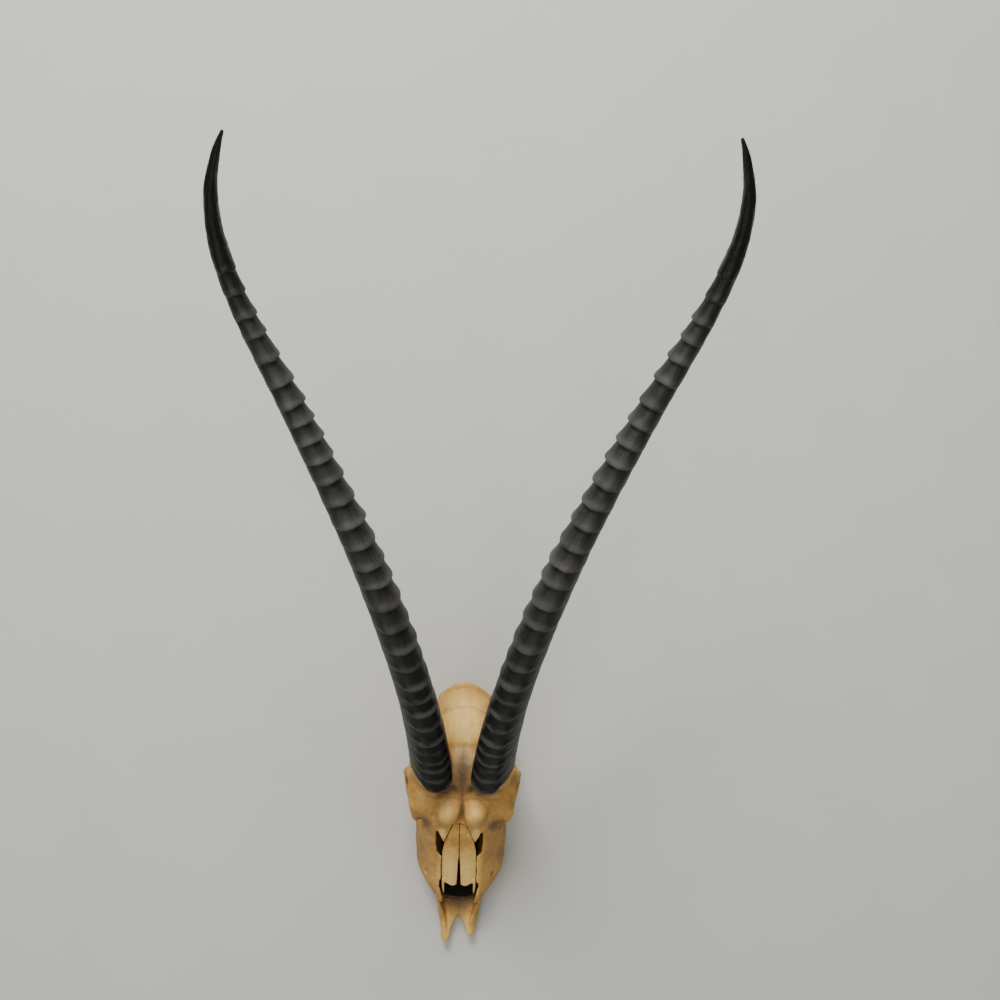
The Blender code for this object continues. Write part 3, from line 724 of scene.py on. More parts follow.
# Stains and painted light: name, then centre, radii and strength of each
STAINS_AND_PAINTED_LIGHT = {
    # Grey-brown: stains on the cheeks, in the lacrimal pits and along the forehead, partly painted
    # shade on the column between the horns, and painted shade on the nose floor
    "grey": (
        ((33.5, 130, 76), (10, 12, 20), 1.0), ((33.5, 130, 76), (8, 10, 18), 1.0),
        ((0, 180, 106), (12, 32, 22), 1.0), ((0, 180, 106), (7, 30, 18), 1.0),
        ((0, 150, 98), (3.5, 20, 12), 0.75),
        ((30, 152, 100), (10, 10, 12), 0.35), ((40, 100, 30), (12, 40, 26), 0.4),
        ((0, 34, 15), (13, 15, 6), 0.7),
    ),
    # Red-brown: partly stain and partly painted shade around the horn feet, on the column and in the
    # furrow before them; painted shade on the nose floor
    "red": (
        ((0, 178, 106), (9, 28, 18), 0.5), ((16, 163, 104), (10, 4.5, 14), 0.9),
        ((0, 46, 17), (24, 16, 10), 1.0), ((0, 46, 17), (16, 10, 8), 1.0),
        ((21, 168, 110), (19, 9, 18), 1.0), ((9, 172, 104), (7, 16, 14), 0.6),
        ((9.5, 166, 106), (7.5, 10, 14), 1.0), ((0, 145, 96), (2.6, 14, 14), 0.6),
        ((18, 159, 104), (16, 4, 14), 0.5),
        ((46, 176, 92), (7, 10, 12), 0.4), ((16, 190, 104), (10, 22, 14), 0.35),
    ),
    # Pale: partly lighter bone and partly painted highlight, on the brow bulges, the nasals, the
    # braincase and the muzzle tip
    "pale": (
        ((12.4, 144, 97), (12, 12, 14), 0.55), ((9, 76, 54), (14, 44, 32), 1.0),
        ((0, 228, 84), (28, 32, 34), 0.75), ((10, 8, 14), (10, 22, 10), 0.5),
        ((16, 120, 80), (5, 8, 14), 1.0), ((0, 200, 104), (14, 14, 10), 0.5),
    ),
}

# Painted shade inside the nose, nearly black where the cavity lies in shadow, as centres and radii
NOSE_SHADE = (((0, 92, 36), (27, 62, 34)), ((0, 60, 24), (28, 24, 16)))
PALATE_TOP = 20.0
SHELTERED = (0.05, 0.05 + 1 / 12)


def carve(piece, sutures, channels, bosses, lumps):
    """Work lines, channels, bosses and unevenness into a fused surface."""
    points, normals = read_surface(piece)[:2]
    depth = np.zeros(len(points))
    for plane, path, width, wander, strength in sutures:
        depth += 0.6 * strength * closeness(points, normals, plane, path, width, wander)
    for plane, path, width, inward in channels:
        depth += inward * closeness(points, normals, plane, path, width)
    for centre, radii, inward in bosses:
        depth += inward * spot(points, centre, radii)
    if lumps:
        depth += lumps * unevenness(points, 9.0, 3)
    write_surface(piece, points - normals * depth[:, None])


def pit(piece, count, low, high, seed):
    """Small vessel holes in one region of the bone."""
    points, normals = read_surface(piece)[:2]
    inside = np.flatnonzero(np.all((np.abs(points) > low) & (np.abs(points) < high), axis=1))
    chosen = np.random.default_rng(seed).choice(inside, min(count, len(inside)), replace=False)
    carved = np.zeros(len(points))
    for i in chosen:
        near = inside[np.linalg.norm(points[inside] - points[i], axis=1) < 3 * PIT_RADIUS]
        away = np.linalg.norm(points[near] - points[i], axis=1) / PIT_RADIUS
        carved[near] = np.maximum(carved[near], np.exp(-(away**2)))
    write_surface(piece, points - normals * carved[:, None] * PIT_DEPTH)


def mark(piece, sutures, shelter, faces_up=1.2):
    """Keep stains, partly painted light and shade, sutures and shelter on a surface, for its material,
    and the painted shade inside the nose. That painted shade is kept only where the surface's
    direction has less upward share than given."""
    points, normals, edges = read_surface(piece)
    seam = np.zeros(len(points))
    for plane, path, width, wander, strength in sutures:
        line = closeness(points, normals, plane, path, width, wander)
        seam = np.maximum(seam, strength * line)
    store(piece, "seam", seam)
    for name, spots in STAINS_AND_PAINTED_LIGHT.items():
        value = np.zeros(len(points))
        for centre, radii, strength in spots:
            value = np.maximum(value, strength * spot(points, centre, radii) ** 0.5)
        store(piece, name, value)
    # How closed in each point is, from rays; the material paints shade in the recesses from it
    closed_in = shadowed(points, normals, edges, shelter)
    store(piece, "shelter", closed_in)
    # Painted shade: nearly black inside the nose, where the cavity lies in shadow
    inside = np.zeros(len(points))
    for centre, radii in NOSE_SHADE:
        inside = np.maximum(inside, np.minimum(4.0 * spot(points, centre, radii), 1.0))
    inside *= rising(faces_up - normals[:, 2], 0.0, 0.125)
    inside *= rising(points[:, 2] + 6.0 * normals[:, 2], PALATE_TOP, PALATE_TOP + 3.0)
    store(piece, "dark", inside * rising(closed_in, *SHELTERED))


# Rays for shelter: the turn from one to the next, how far off the surface they start,
# how much less a surface at their full reach closes off, and a direction to turn about
GOLDEN_ANGLE = 2.39996
RAY_LIFT = 0.3
FAR_LOSS = 0.6
SLANTED = (0.3, 0.5, 0.81)


def shadowed(points, normals, edges, tree, every=3, rays=20, reach=45.0):
    """How much of the view out from each point is closed off, from 0 to 1."""
    directions = []
    for i in range(rays):
        up = 1 - (i + 0.5) / rays
        turn = i * GOLDEN_ANGLE
        flat = (1 - up * up) ** 0.5
        directions.append((flat * cos(turn), flat * sin(turn), up))
    directions = np.array(directions)
    chosen = np.arange(0, len(points), every)
    hits = np.zeros(len(chosen))
    for slot, i in enumerate(chosen):
        normal = normals[i]
        side = np.cross(normal, SLANTED)
        side /= np.linalg.norm(side) + 1e-9
        turned = directions @ np.array((side, np.cross(normal, side), normal))
        start = Vector(points[i] + normal * RAY_LIFT)
        blocked = 0.0
        for ray in turned.tolist():
            found = tree.ray_cast(start, ray, reach)
            if found[0] is not None:
                blocked += 1.0 - FAR_LOSS * found[3] / reach
        hits[slot] = blocked / rays
    values = np.full(len(points), hits.mean())
    values[chosen] = hits
    known = np.zeros(len(points))
    known[chosen] = 1.0
    total = softened(values * known, edges, 3)
    weight = softened(known, edges, 3)
    return np.where(weight > 0.01, total / np.maximum(weight, 0.01), hits.mean())


def ray_tree(pieces):
    """Tree for rays against the pieces, in skull millimetres."""
    shapes = [
        (read_surface(piece)[0].tolist(), [face.vertices for face in piece.data.polygons])
        for piece in pieces
    ]
    return BVHTree.FromPolygons(*joined(shapes))


def finish_piece(piece, nodes, material):
    """Give a piece its material, its body and the nodes it stands for."""
    piece.data.materials.clear()
    piece.data.materials.append(material)
    piece.data.shade_smooth()
    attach(piece, "root")
    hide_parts(*nodes)


# Nodes by short name: their own name, fixed settings, and inputs in the order of feeds
KINDS = {
    "attribute": ("ShaderNodeAttribute", {}, ()),
    "blend": ("ShaderNodeMix", {"data_type": "FLOAT"}, (0, 2, 3)),
    "bump": ("ShaderNodeBump", {}, ("Height", "Strength", "Distance")),
    "cells": ("ShaderNodeTexVoronoi", {}, ("Vector", "Scale")),
    "chance": ("ShaderNodeTexWhiteNoise", {"noise_dimensions": "1D"}, ("W",)),
    "coordinates": ("ShaderNodeTexCoord", {}, ()),
    "curve": ("ShaderNodeFloatCurve", {}, ("Value",)),
    "given": ("NodeGroupInput", {}, ()),
    "grid": ("GeometryNodeMeshGrid", {}, ("Size X", "Size Y", "Vertices X", "Vertices Y")),
    "join": ("ShaderNodeCombineXYZ", {}, (0, 1, 2)),
    "mapping": ("ShaderNodeMapping", {}, ("Vector", "Scale")),
    "mix": ("ShaderNodeMix", {"data_type": "RGBA"}, (0, 6, 7)),
    "move": ("GeometryNodeSetPosition", {}, ("Geometry", "Position")),
    "noise": ("ShaderNodeTexNoise", {}, ("Vector", "Scale", "Detail")),
    "paint": ("GeometryNodeSetMaterial", {}, ("Geometry", "Material")),
    "position": ("GeometryNodeInputPosition", {}, ()),
    "ramp": ("ShaderNodeValToRGB", {}, ("Fac",)),
    "range": ("ShaderNodeMapRange", {}, (0, 1, 2, 3, 4)),
    "realize": ("GeometryNodeRealizeInstances", {}, ("Geometry",)),
    "result": ("NodeGroupOutput", {}, ("Horn",)),
    "sample": ("GeometryNodeSampleCurve", {"mode": "FACTOR"}, ("Curves", "Value", "Factor")),
    "scaled": ("ShaderNodeVectorMath", {"operation": "SCALE"}, (0, "Scale")),
    "split": ("ShaderNodeSeparateXYZ", {}, ("Vector",)),
    "store": ("GeometryNodeStoreNamedAttribute", {}, ("Geometry", "Name", "Value")),
    "stored": ("GeometryNodeInputNamedAttribute", {}, ("Name",)),
    "sum": ("ShaderNodeVectorMath", {"operation": "ADD"}, (0, 1)),
    "to curve": ("GeometryNodeMeshToCurve", {}, ("Mesh",)),
    "weld": ("GeometryNodeMergeByDistance", {}, ("Geometry", "Distance")),
}


def add(tree, kind, *feeds, **settings):
    """One node with its settings; each feed is a value, a socket or another node. A
    kind without a short name is an operation of the Math node."""
    own_name, fixed, inputs = KINDS.get(kind) or ("ShaderNodeMath", {"operation": kind}, (0, 1))
    node = tree.nodes.new(own_name)
    for name, value in (fixed | settings).items():
        setattr(node, name, value)
    for name, value in zip(inputs, feeds):
        if isinstance(value, bpy.types.Node):
            value = value.outputs[0]
        if isinstance(value, bpy.types.NodeSocket):
            tree.links.new(value, node.inputs[name])
        else:
            node.inputs[name].default_value = value
    return node


def new_material(name, inputs):
    """Material with these shader inputs, its tree and its shader."""
    material = bpy.data.materials.new(name)
    material.use_nodes = True
    shader = material.node_tree.nodes["Principled BSDF"]
    for field, value in inputs.items():
        shader.inputs[field].default_value = value
    return material, material.node_tree, shader


def drive(tree, shader, colour, rough, bump):
    """Link what a material's nodes work out to its shader."""
    tree.links.new(colour, shader.inputs["Base Color"])
    tree.links.new(rough.outputs[0], shader.inputs["Roughness"])
    tree.links.new(bump.outputs[0], shader.inputs["Normal"])


def kept(tree, *names):
    """What the surface keeps under these names."""
    return [add(tree, "attribute", attribute_name=name).outputs["Fac"] for name in names]


def layered(tree, colour, *coats):
    """The colour with others laid over it; each coat is a share and a hex colour."""
    for share, coat in coats:
        colour = add(tree, "mix", share, colour, linear(coat)).outputs[2]
    return colour


def set_ramp(node, *stops):
    """Give a colour ramp its stops: places, each with a hex or a linear colour."""
    elements = node.color_ramp.elements
    elements.remove(elements[0])
    for i, (place, colour) in enumerate(stops):
        stop = elements.new(place) if i else elements[0]
        stop.position = place
        stop.color = linear(colour) if isinstance(colour, str) else colour


def bone_material(name, colour, tones):
    """Old dry bone that has been handled and has soaked up earth and grease: a tan with painted shade,
    dark brown in its recesses and nearly black inside the nose, and fine pores and streaks along the
    skull. Its grey and red patches are partly stains and partly painted shade, its pale ones partly
    lighter bone and partly painted highlight. It is dull, and gets a slight sheen where it was rubbed."""
    material, tree, shader = new_material(name, {"IOR": 1.5, "Specular IOR Level": 0.4})
    node = partial(add, tree)
    place = node("coordinates").outputs["Object"]
    stretch = node("mapping", place, (1.0, 0.22, 1.0))
    broad = node("noise", place, 55.0, 4.0)
    fine = node("noise", place, 340.0, 5.0)
    streak = node("noise", stretch, 420.0, 4.0)
    pores = node("cells", place, 620.0)
    base = node("ramp", broad)
    set_ramp(base, (0.3, tones[0]), (0.5, colour), (0.72, tones[1]))
    mottle = node("MULTIPLY", fine, streak)
    depth = node("range", mottle, 0.12, 0.38, 0.82, 1.1)
    shaded = node("mix", 1.0, base, depth, blend_type="MULTIPLY").outputs[2]
    blotch = node("range", fine, 0.3, 0.7, 0.75, 1.2)
    pale, grey, red, shelter, seam, inside = kept(
        tree, "pale", "grey", "red", "shelter", "seam", "dark"
    )
    # Painted shade: the bone turns dark brown where the rays find it closed in, as shade falls in
    # recesses
    recess_shade_share = node("range", shelter, 0.34, 0.86, 0.0, 0.94)
    pale, grey, red, painted_recess_shade = (
        node("MULTIPLY", amount, blotch, use_clamp=True) for amount in (pale, grey, red, recess_shade_share)
    )
    seam = node("MULTIPLY", seam, 0.75)
    # Coats, in order: grey, red and pale, partly stains and partly painted light; painted shade in the
    # recesses; dark sutures; painted shade inside the nose
    stained = layered(
        tree, shaded, (pale, "#ecc572"), (grey, "#6b5633"), (red, "#49301a"),
        (painted_recess_shade, "#2b1a0d"), (seam, "#4a3018"), (inside, "#080402"),
    )
    rough = node("range", broad, 0.3, 0.7, 0.5, 0.68)
    rough = node("MAXIMUM", rough, inside)
    open_pores = node("range", pores, 0.0, 0.3, 0.0, 1.0)
    relief = node("MULTIPLY", mottle, open_pores)
    drive(tree, shader, stained, rough, node("bump", relief, 0.55, 0.5 * MM))
    return material


def horn_material(colour):
    """Keratin of a horn sheath: nearly black, with fine fibres along the horn. The rings' tops are
    lighter grey, partly dull wear and partly painted highlight, the grooves get painted shadow under
    the lips, and the tip is polished."""
    material, tree, shader = new_material(
        "Horn keratin", {"IOR": 1.54, "Specular IOR Level": 0.32}
    )
    node = partial(add, tree)
    along = node("attribute", attribute_name="sheath").outputs["Vector"]
    fibre = node("noise", along, 1.0, 5.0)
    place = node("coordinates").outputs["Object"]
    cloud = node("noise", place, 90.0, 3.0)
    ridge, groove, height = kept(tree, "ridge", "groove", "height")
    tone = node("ramp", fibre)
    set_ramp(tone, (0.3, "#181817"), (0.5, colour), (0.75, "#34332f"))
    # Ring tops painted lighter grey: partly wear, partly painted highlight on the faces turned to the
    # light
    worn = node("MULTIPLY", ridge, cloud)
    from_ridge = node("range", height, 0.1, 0.36, 0.28, 0.08)
    worn = node("range", worn, from_ridge, 0.5, 0.0, 0.6)
    upper = node("range", height, 0.05, 0.36, 0.55, 1.0)
    worn = node("MULTIPLY", worn, upper)
    depth = node("ramp", height)
    set_ramp(
        depth, (0.0, "#5a5a5e"), (0.2, "#7a7a7c"), (0.4, "#ffffff"), (0.74, "#f2f2f2"),
        (0.84, "#505050"),
    )
    shaded = node("mix", 1.0, tone, depth, blend_type="MULTIPLY").outputs[2]
    # Painted shadow: near black under each ring's lip, in the groove
    groove = node("MULTIPLY", groove, 0.8, use_clamp=True)
    stained = layered(tree, shaded, (worn, "#55544d"), (groove, "#080808"))
    dull = node("range", fibre, 0.3, 0.7, 0.4, 0.56)
    polish = node("range", height, 0.76, 0.88, 0.0, 0.14)
    rough = node("SUBTRACT", dull, polish)
    drive(tree, shader, stained, rough, node("bump", fibre, 0.3, 0.4 * MM))
    return material


def tooth_material(colour):
    """Enamel of an old herbivore's cheek teeth: off-white, glossy, stained brown
    near the root and in the folds of the worn face, with fine upright lines."""
    material, tree, shader = new_material("Stained enamel", {"IOR": 1.62})
    node = partial(add, tree)
    place = node("coordinates").outputs["Object"]
    upright = node("mapping", place, (1.0, 1.0, 0.15))
    lines = node("noise", upright, 900.0, 3.0)
    cloud = node("noise", place, 260.0, 3.0)
    tone = node("ramp", cloud)
    set_ramp(tone, (0.35, "#a08558"), (0.55, colour), (0.75, "#ded1ae"))
    stain, = kept(tree, "stain")
    speckle = node("range", lines, 0.35, 0.65, 0.7, 1.25)
    share = node("MULTIPLY", stain, speckle, use_clamp=True)
    stained = layered(tree, tone.outputs[0], (share, "#3c2816"))
    rough = node("range", stain, 0.0, 1.0, 0.28, 0.6)
    drive(tree, shader, stained, rough, node("bump", lines, 0.25, 0.2 * MM))
    return material


def horn_axes(side, t, turn_at):
    """Directions of a horn at t: along it, outwards and to its front, the last two
    turned about it as they are at turn_at."""
    rise = radians(value_at(HORN_RISE, t))
    splay = radians(value_at(HORN_SPLAY[side], t))
    along = np.array((side * cos(rise) * sin(splay), cos(rise) * cos(splay), sin(rise)))
    outer = np.cross(along, (0, 0, 1)) * side
    outer /= np.linalg.norm(outer)
    front = np.cross(along, outer) * side
    front *= 1.0 if front[2] > 0 else -1.0
    lean = radians(value_at(HORN_TURN, turn_at))
    return along, outer * cos(lean) + front * sin(lean), front * cos(lean) - outer * sin(lean)


def foot_slant(run):
    """How much higher the back of a horn's foot is pushed, this far along the horn."""
    return FOOT_SLANT * max(0.0, 1.0 - run / FOOT_REACH) ** 2


def horn_line(side, steps=400):
    """Centre line of a horn with what its sweep needs, as a mesh of edges."""
    rings = (-2.0,) + RING_GROOVES[side] + (RING_GROOVES[side][-1] + 20,)
    place = np.array(HORN_BASE[side], float)
    points = []
    layers = {"outer": [], "front": [], "size": [], "ring": [], "slant": []}
    for i in range(steps + 1):
        t = i / steps
        run = t * HORN_LENGTH[side]
        along, outer, front = horn_axes(side, t, t)
        across = value_at(HORN_WIDTH, t) / 2
        deep = across * value_at(HORN_DEPTH_RATIO, t)
        past = np.interp(t, *HORN_TIP_SWELL) - HORN_INSET
        layers["outer"].append(outer)
        layers["front"].append(front)
        layers["size"].append((
            (across + past) * MM, (deep + past) * MM,
            value_at(RING_RELIEF, t) / RING_RELIEF_UNIT,
        ))
        layers["ring"].append(np.interp(run, rings, range(len(rings))) + FIRST_RING)
        layers["slant"].append(foot_slant(run) * MM)
        points.append((place - (MIDDLE_X, MIDDLE_S, 0)) * MM)
        place = place + along * HORN_LENGTH[side] / steps
    line = placed_mesh("horn line", points, [(i, i + 1) for i in range(steps)], [])
    for name, values in layers.items():
        kind, field = ("FLOAT", "value") if name in ("ring", "slant") else ("FLOAT_VECTOR", "vector")
        layer = line.data.attributes.new(name, kind, "POINT")
        layer.data.foreach_set(field, np.array(values, float).ravel())
    return line


def curve_through(node, stops):
    """Give a Float Curve node its points."""
    curve = node.mapping.curves[0]
    for i, (x, y) in enumerate(stops):
        if i < 2:
            curve.points[i].location = (x, y)
        else:
            curve.points.new(x, y)
    node.mapping.update()


def horn_tree():
    """Node tree that sweeps a horn with overhanging rings along its centre line."""
    tree = bpy.data.node_groups.new("Ringed horn", "GeometryNodeTree")
    sockets = (
        ("Line", "Geometry"), ("Stations", "Int"), ("Sides", "Int"), ("Ring relief", "Float"),
        ("Ring overhang", "Float"), ("Grain depth", "Float"), ("Seed", "Int"),
        ("Material", "Material"),
    )
    for name, kind in sockets:
        tree.interface.new_socket(name, in_out="INPUT", socket_type="NodeSocket" + kind)
    tree.interface.new_socket("Horn", in_out="OUTPUT", socket_type="NodeSocketGeometry")
    node = partial(add, tree)
    given = node("given").outputs

    line = node("to curve", given["Line"]).outputs["Curve"]
    columns = node("ADD", given["Sides"], 1.0)
    sheet = node("grid", 1.0, 1.0, columns, given["Stations"])
    place = node("position")
    place = node("sum", place, (0.5, 0.5, 0.0))
    place = node("split", place)
    corner, raw = place.outputs["X"], place.outputs["Y"]
    rows = node("SUBTRACT", given["Stations"], 1.0)
    row = node("MULTIPLY", raw, rows)
    past_foot = node("SUBTRACT", row, 2.0)
    spans = node("SUBTRACT", rows, 2.0)
    t = node("DIVIDE", past_foot, spans, use_clamp=True)

    # Both ends close to a point: a flat foot over two rows and a rounded tip
    foot = node("MULTIPLY", row, 0.5, use_clamp=True)
    left = node("SUBTRACT", 1.0, t)
    left = node("MULTIPLY", left, 400.0, use_clamp=True)
    round_tip = node("POWER", left, 0.5)
    closing = node("MINIMUM", foot, round_tip)

    sampled = {}
    for name in ("outer", "front", "size", "ring", "slant"):
        kind = "FLOAT" if name in ("ring", "slant") else "FLOAT_VECTOR"
        own = node("stored", name, data_type=kind)
        sampled[name] = node("sample", line, own, t, data_type=kind)
    phase = sampled["ring"].outputs[0]
    centre = sampled["slant"].outputs["Position"]
    tangent = sampled["slant"].outputs["Tangent"]

    turn = node("MULTIPLY", corner, 2 * pi)
    sine = node("SINE", turn)
    cosine = node("COSINE", turn)

    # Coordinates for fibres: 0.9 mm around by 14 mm along
    around_x = node("MULTIPLY", sine, 18.0)
    around_y = node("MULTIPLY", cosine, 18.0)
    along = node("MULTIPLY", t, 43.0)
    fibre_place = node("join", around_x, around_y, along)
    fibre = node("noise", fibre_place, 1.0, 3.0)
    lump_x = node("MULTIPLY", sine, 1.2)
    lump_y = node("MULTIPLY", cosine, 1.2)
    lump_place = node("join", lump_x, lump_y, along)
    lump = node("noise", lump_place, 1.0, 2.0)

    # Rings: each has its own height, and its line wanders a little round the horn. It
    # lies nearer to the tip on the side away from where the rings are boldest, most so
    # on the lower half of the horn
    wander = node("range", lump, 0.3, 0.7, -0.03, 0.03)
    inward = node("ADD", turn, radians(35))
    facing = node("COSINE", inward)
    facing = node("range", facing, -1.0, 1.0)
    dip = node("range", facing, 0.0, 1.0, -0.42, 0.0)
    level = node("range", t, 0.3, 0.65, 1.0, 0.25)
    dip = node("MULTIPLY", dip, level)
    wandered = node("ADD", phase, wander)
    wandered = node("ADD", wandered, dip)
    fraction = node("FRACT", wandered)
    number = node("FLOOR", wandered)
    number = node("ADD", number, given["Seed"])
    chance = node("chance", number)
    own_height = node("range", chance.outputs["Value"], 0.0, 1.0, 0.72, 1.15)
    # Section of a ring from its groove up to the next: a lip that flares out on the upper horn, a
    # round roll on the lower, and the painted shadow under the lip, darkest in the groove
    flare = node("curve", fraction)
    curve_through(flare, (
        (0.0, 0.0), (1.0, 0.0), (0.04, 0.58), (0.09, 0.92), (0.15, 1.0), (0.24, 0.9),
        (0.35, 0.62), (0.5, 0.36), (0.68, 0.16), (0.85, 0.02),
    ))
    roll = node("curve", fraction)
    curve_through(roll, (
        (0.0, 0.0), (1.0, 0.0), (0.06, 0.5), (0.13, 0.93), (0.21, 1.0), (0.3, 0.75),
        (0.42, 0.26), (0.55, 0.05), (0.8, 0.0),
    ))
    # Painted shadow under the lip: 1 in the groove, 0 on the rest of the ring
    hollow = node("curve", fraction)
    curve_through(hollow, (
        (0.0, 1.0), (1.0, 1.0), (0.05, 0.7), (0.1, 0.0), (0.6, 0.0), (0.78, 0.2), (0.9, 0.9),
    ))
    # How bold a ring is round the horn, on its upper and on its lower part
    upper = node("curve", facing)
    curve_through(upper, ((0.0, 0.05), (1.0, 1.0), (0.3, 0.14), (0.55, 0.55), (0.78, 0.93)))
    front_turn = node("ADD", turn, radians(8))
    front_turn = node("COSINE", front_turn)
    front_turn = node("range", front_turn, -1.0, 1.0)
    lower = node("curve", front_turn)
    curve_through(lower, (
        (0.0, 0.02), (1.0, 1.0), (0.66, 0.04), (0.78, 0.15), (0.88, 0.62), (0.94, 0.95),
    ))
    blend = node("range", t, 0.16, 0.44, interpolation_type="SMOOTHSTEP")
    weight = node("blend", blend, lower, upper)
    weight = node("MULTIPLY", weight, own_height)
    sizes = node("split", sampled["size"])
    weight = node("MULTIPLY", weight, sizes.outputs["Z"])
    tooth = node("blend", blend, roll, flare)
    ridge = node("MULTIPLY", weight, tooth)
    groove = node("MULTIPLY", weight, hollow)
    raised = node("MULTIPLY", ridge, given["Ring relief"])
    grain = node("range", fibre, 0.2, 0.8, -1.0, 1.0)
    grain = node("MULTIPLY", grain, given["Grain depth"])
    uneven = node("range", lump, 0.3, 0.7, -0.3 * MM, 0.3 * MM)
    raised = node("ADD", raised, grain)
    raised = node("ADD", raised, uneven)

    reach = []
    for spread, radius, direction in (
        (sine, sizes.outputs["X"], "outer"), (cosine, sizes.outputs["Y"], "front"),
    ):
        full = node("ADD", radius, raised)
        full = node("MULTIPLY", full, closing)
        full = node("MULTIPLY", full, spread)
        reach.append(node("scaled", sampled[direction], full))
    lean = node("MULTIPLY", ridge, given["Ring overhang"])
    lean = node("MULTIPLY", lean, -1.0)
    lean = node("scaled", tangent, lean)
    put = reach[0]
    for more in (reach[1], lean, centre):
        put = node("sum", put, more)

    # The foot is cut level with the roof of the skull, lowest at its front
    low_turn = node("ADD", turn, radians(-FOOT_LOWEST))
    low_turn = node("COSINE", low_turn)
    rise = node("range", low_turn, 1.0, -1.0)
    rise = node("MULTIPLY", rise, sampled["slant"])
    rise = node("scaled", tangent, rise)
    put = node("sum", put, rise)

    # What the material reads is kept before the sheet is bent round the horn
    shape = sheet.outputs["Mesh"]
    layers = (
        ("UVMap", "FLOAT2", "CORNER", node("join", corner, t)),
        ("sheath", "FLOAT_VECTOR", "POINT", fibre_place),
        ("ridge", "FLOAT", "POINT", ridge),
        ("groove", "FLOAT", "POINT", groove),
        ("height", "FLOAT", "POINT", t),
        ("place", "FLOAT_VECTOR", "POINT", put),
    )
    for name, kind, domain, value in layers:
        shape = node("store", shape, name, value, data_type=kind, domain=domain)
    bent = node("move", shape, node("stored", "place", data_type="FLOAT_VECTOR"))
    single = node("realize", node("weld", bent, 0.01 * MM))
    node("result", node("paint", single, given["Material"]))
    return tree


def horn_outline(side, t, grow, shift=0.0, corners=40):
    """Points around a horn at t, in skull millimetres."""
    along, outer, front = horn_axes(side, t / 2, t)
    across = value_at(HORN_WIDTH, t) / 2
    deep = across * value_at(HORN_DEPTH_RATIO, t)
    run = t * HORN_LENGTH[side]
    centre = np.array(HORN_BASE[side], float) + along * (run + shift)
    loop = []
    for j in range(corners):
        turn = radians(360.0 * j / corners)
        reach = outer * sin(turn) * (across + grow) + front * cos(turn) * (deep + grow)
        rise = foot_slant(run) * (1 - cos(turn - radians(FOOT_LOWEST))) / 2
        loop.append(centre + reach + along * rise)
    return loop


def horn_seat(side):
    """Room for the foot of a horn in the top of its pedicle."""
    loops = [horn_outline(side, 0.0, 0.6, -0.5)]
    loops += [horn_outline(side, i * 0.0125, 1.3) for i in range(6)]
    return skin(loops)


def tooth_side(index, u):
    """Outer and inner edge of a cheek tooth at u along it, in half widths."""
    style = sum(np.exp(-(((u - p) / 0.13) ** 2)) for p in (-0.86, 0.0, 0.86))
    ends = max(0.0, 1 - abs(u) ** 7) ** 0.5
    if index > 2:
        lobe = max(0.0, 1 - (2 * abs(u) - 1.0) ** 2) ** 0.5
        inner = 0.5 + 0.5 * lobe
        return (0.84 + 0.16 * style) * ends, inner * ends
    rib = np.exp(-((u / 0.3) ** 2))
    return (0.86 + 0.1 * rib + 0.05 * style) * ends, (0.55 + 0.45 * (1 - u * u) ** 0.5) * ends


def tooth_loop(index, side, z, scale, grow=0.0, corners=26):
    """Points around a cheek tooth at one height, in skull millimetres."""
    start = TOOTH_START + sum(TOOTH_LENGTHS[:index])
    middle = start + TOOTH_LENGTHS[index] / 2
    half_length = (TOOTH_LENGTHS[index] - TOOTH_GAP) / 2
    half_width = TOOTH_WIDTHS[index] / 2
    loop = []
    for way in (1, -1):
        for i in range(corners):
            u = -way * cos(pi * i / corners)
            outer, inner = tooth_side(index, u)
            reach = outer if way > 0 else -inner
            grown_u = u * (half_length + grow / scale) * scale
            across = reach * half_width * scale + (grow if reach > 0 else -grow)
            loop.append((side * (TOOTH_X[index] + across), middle + grown_u, z))
    return loop


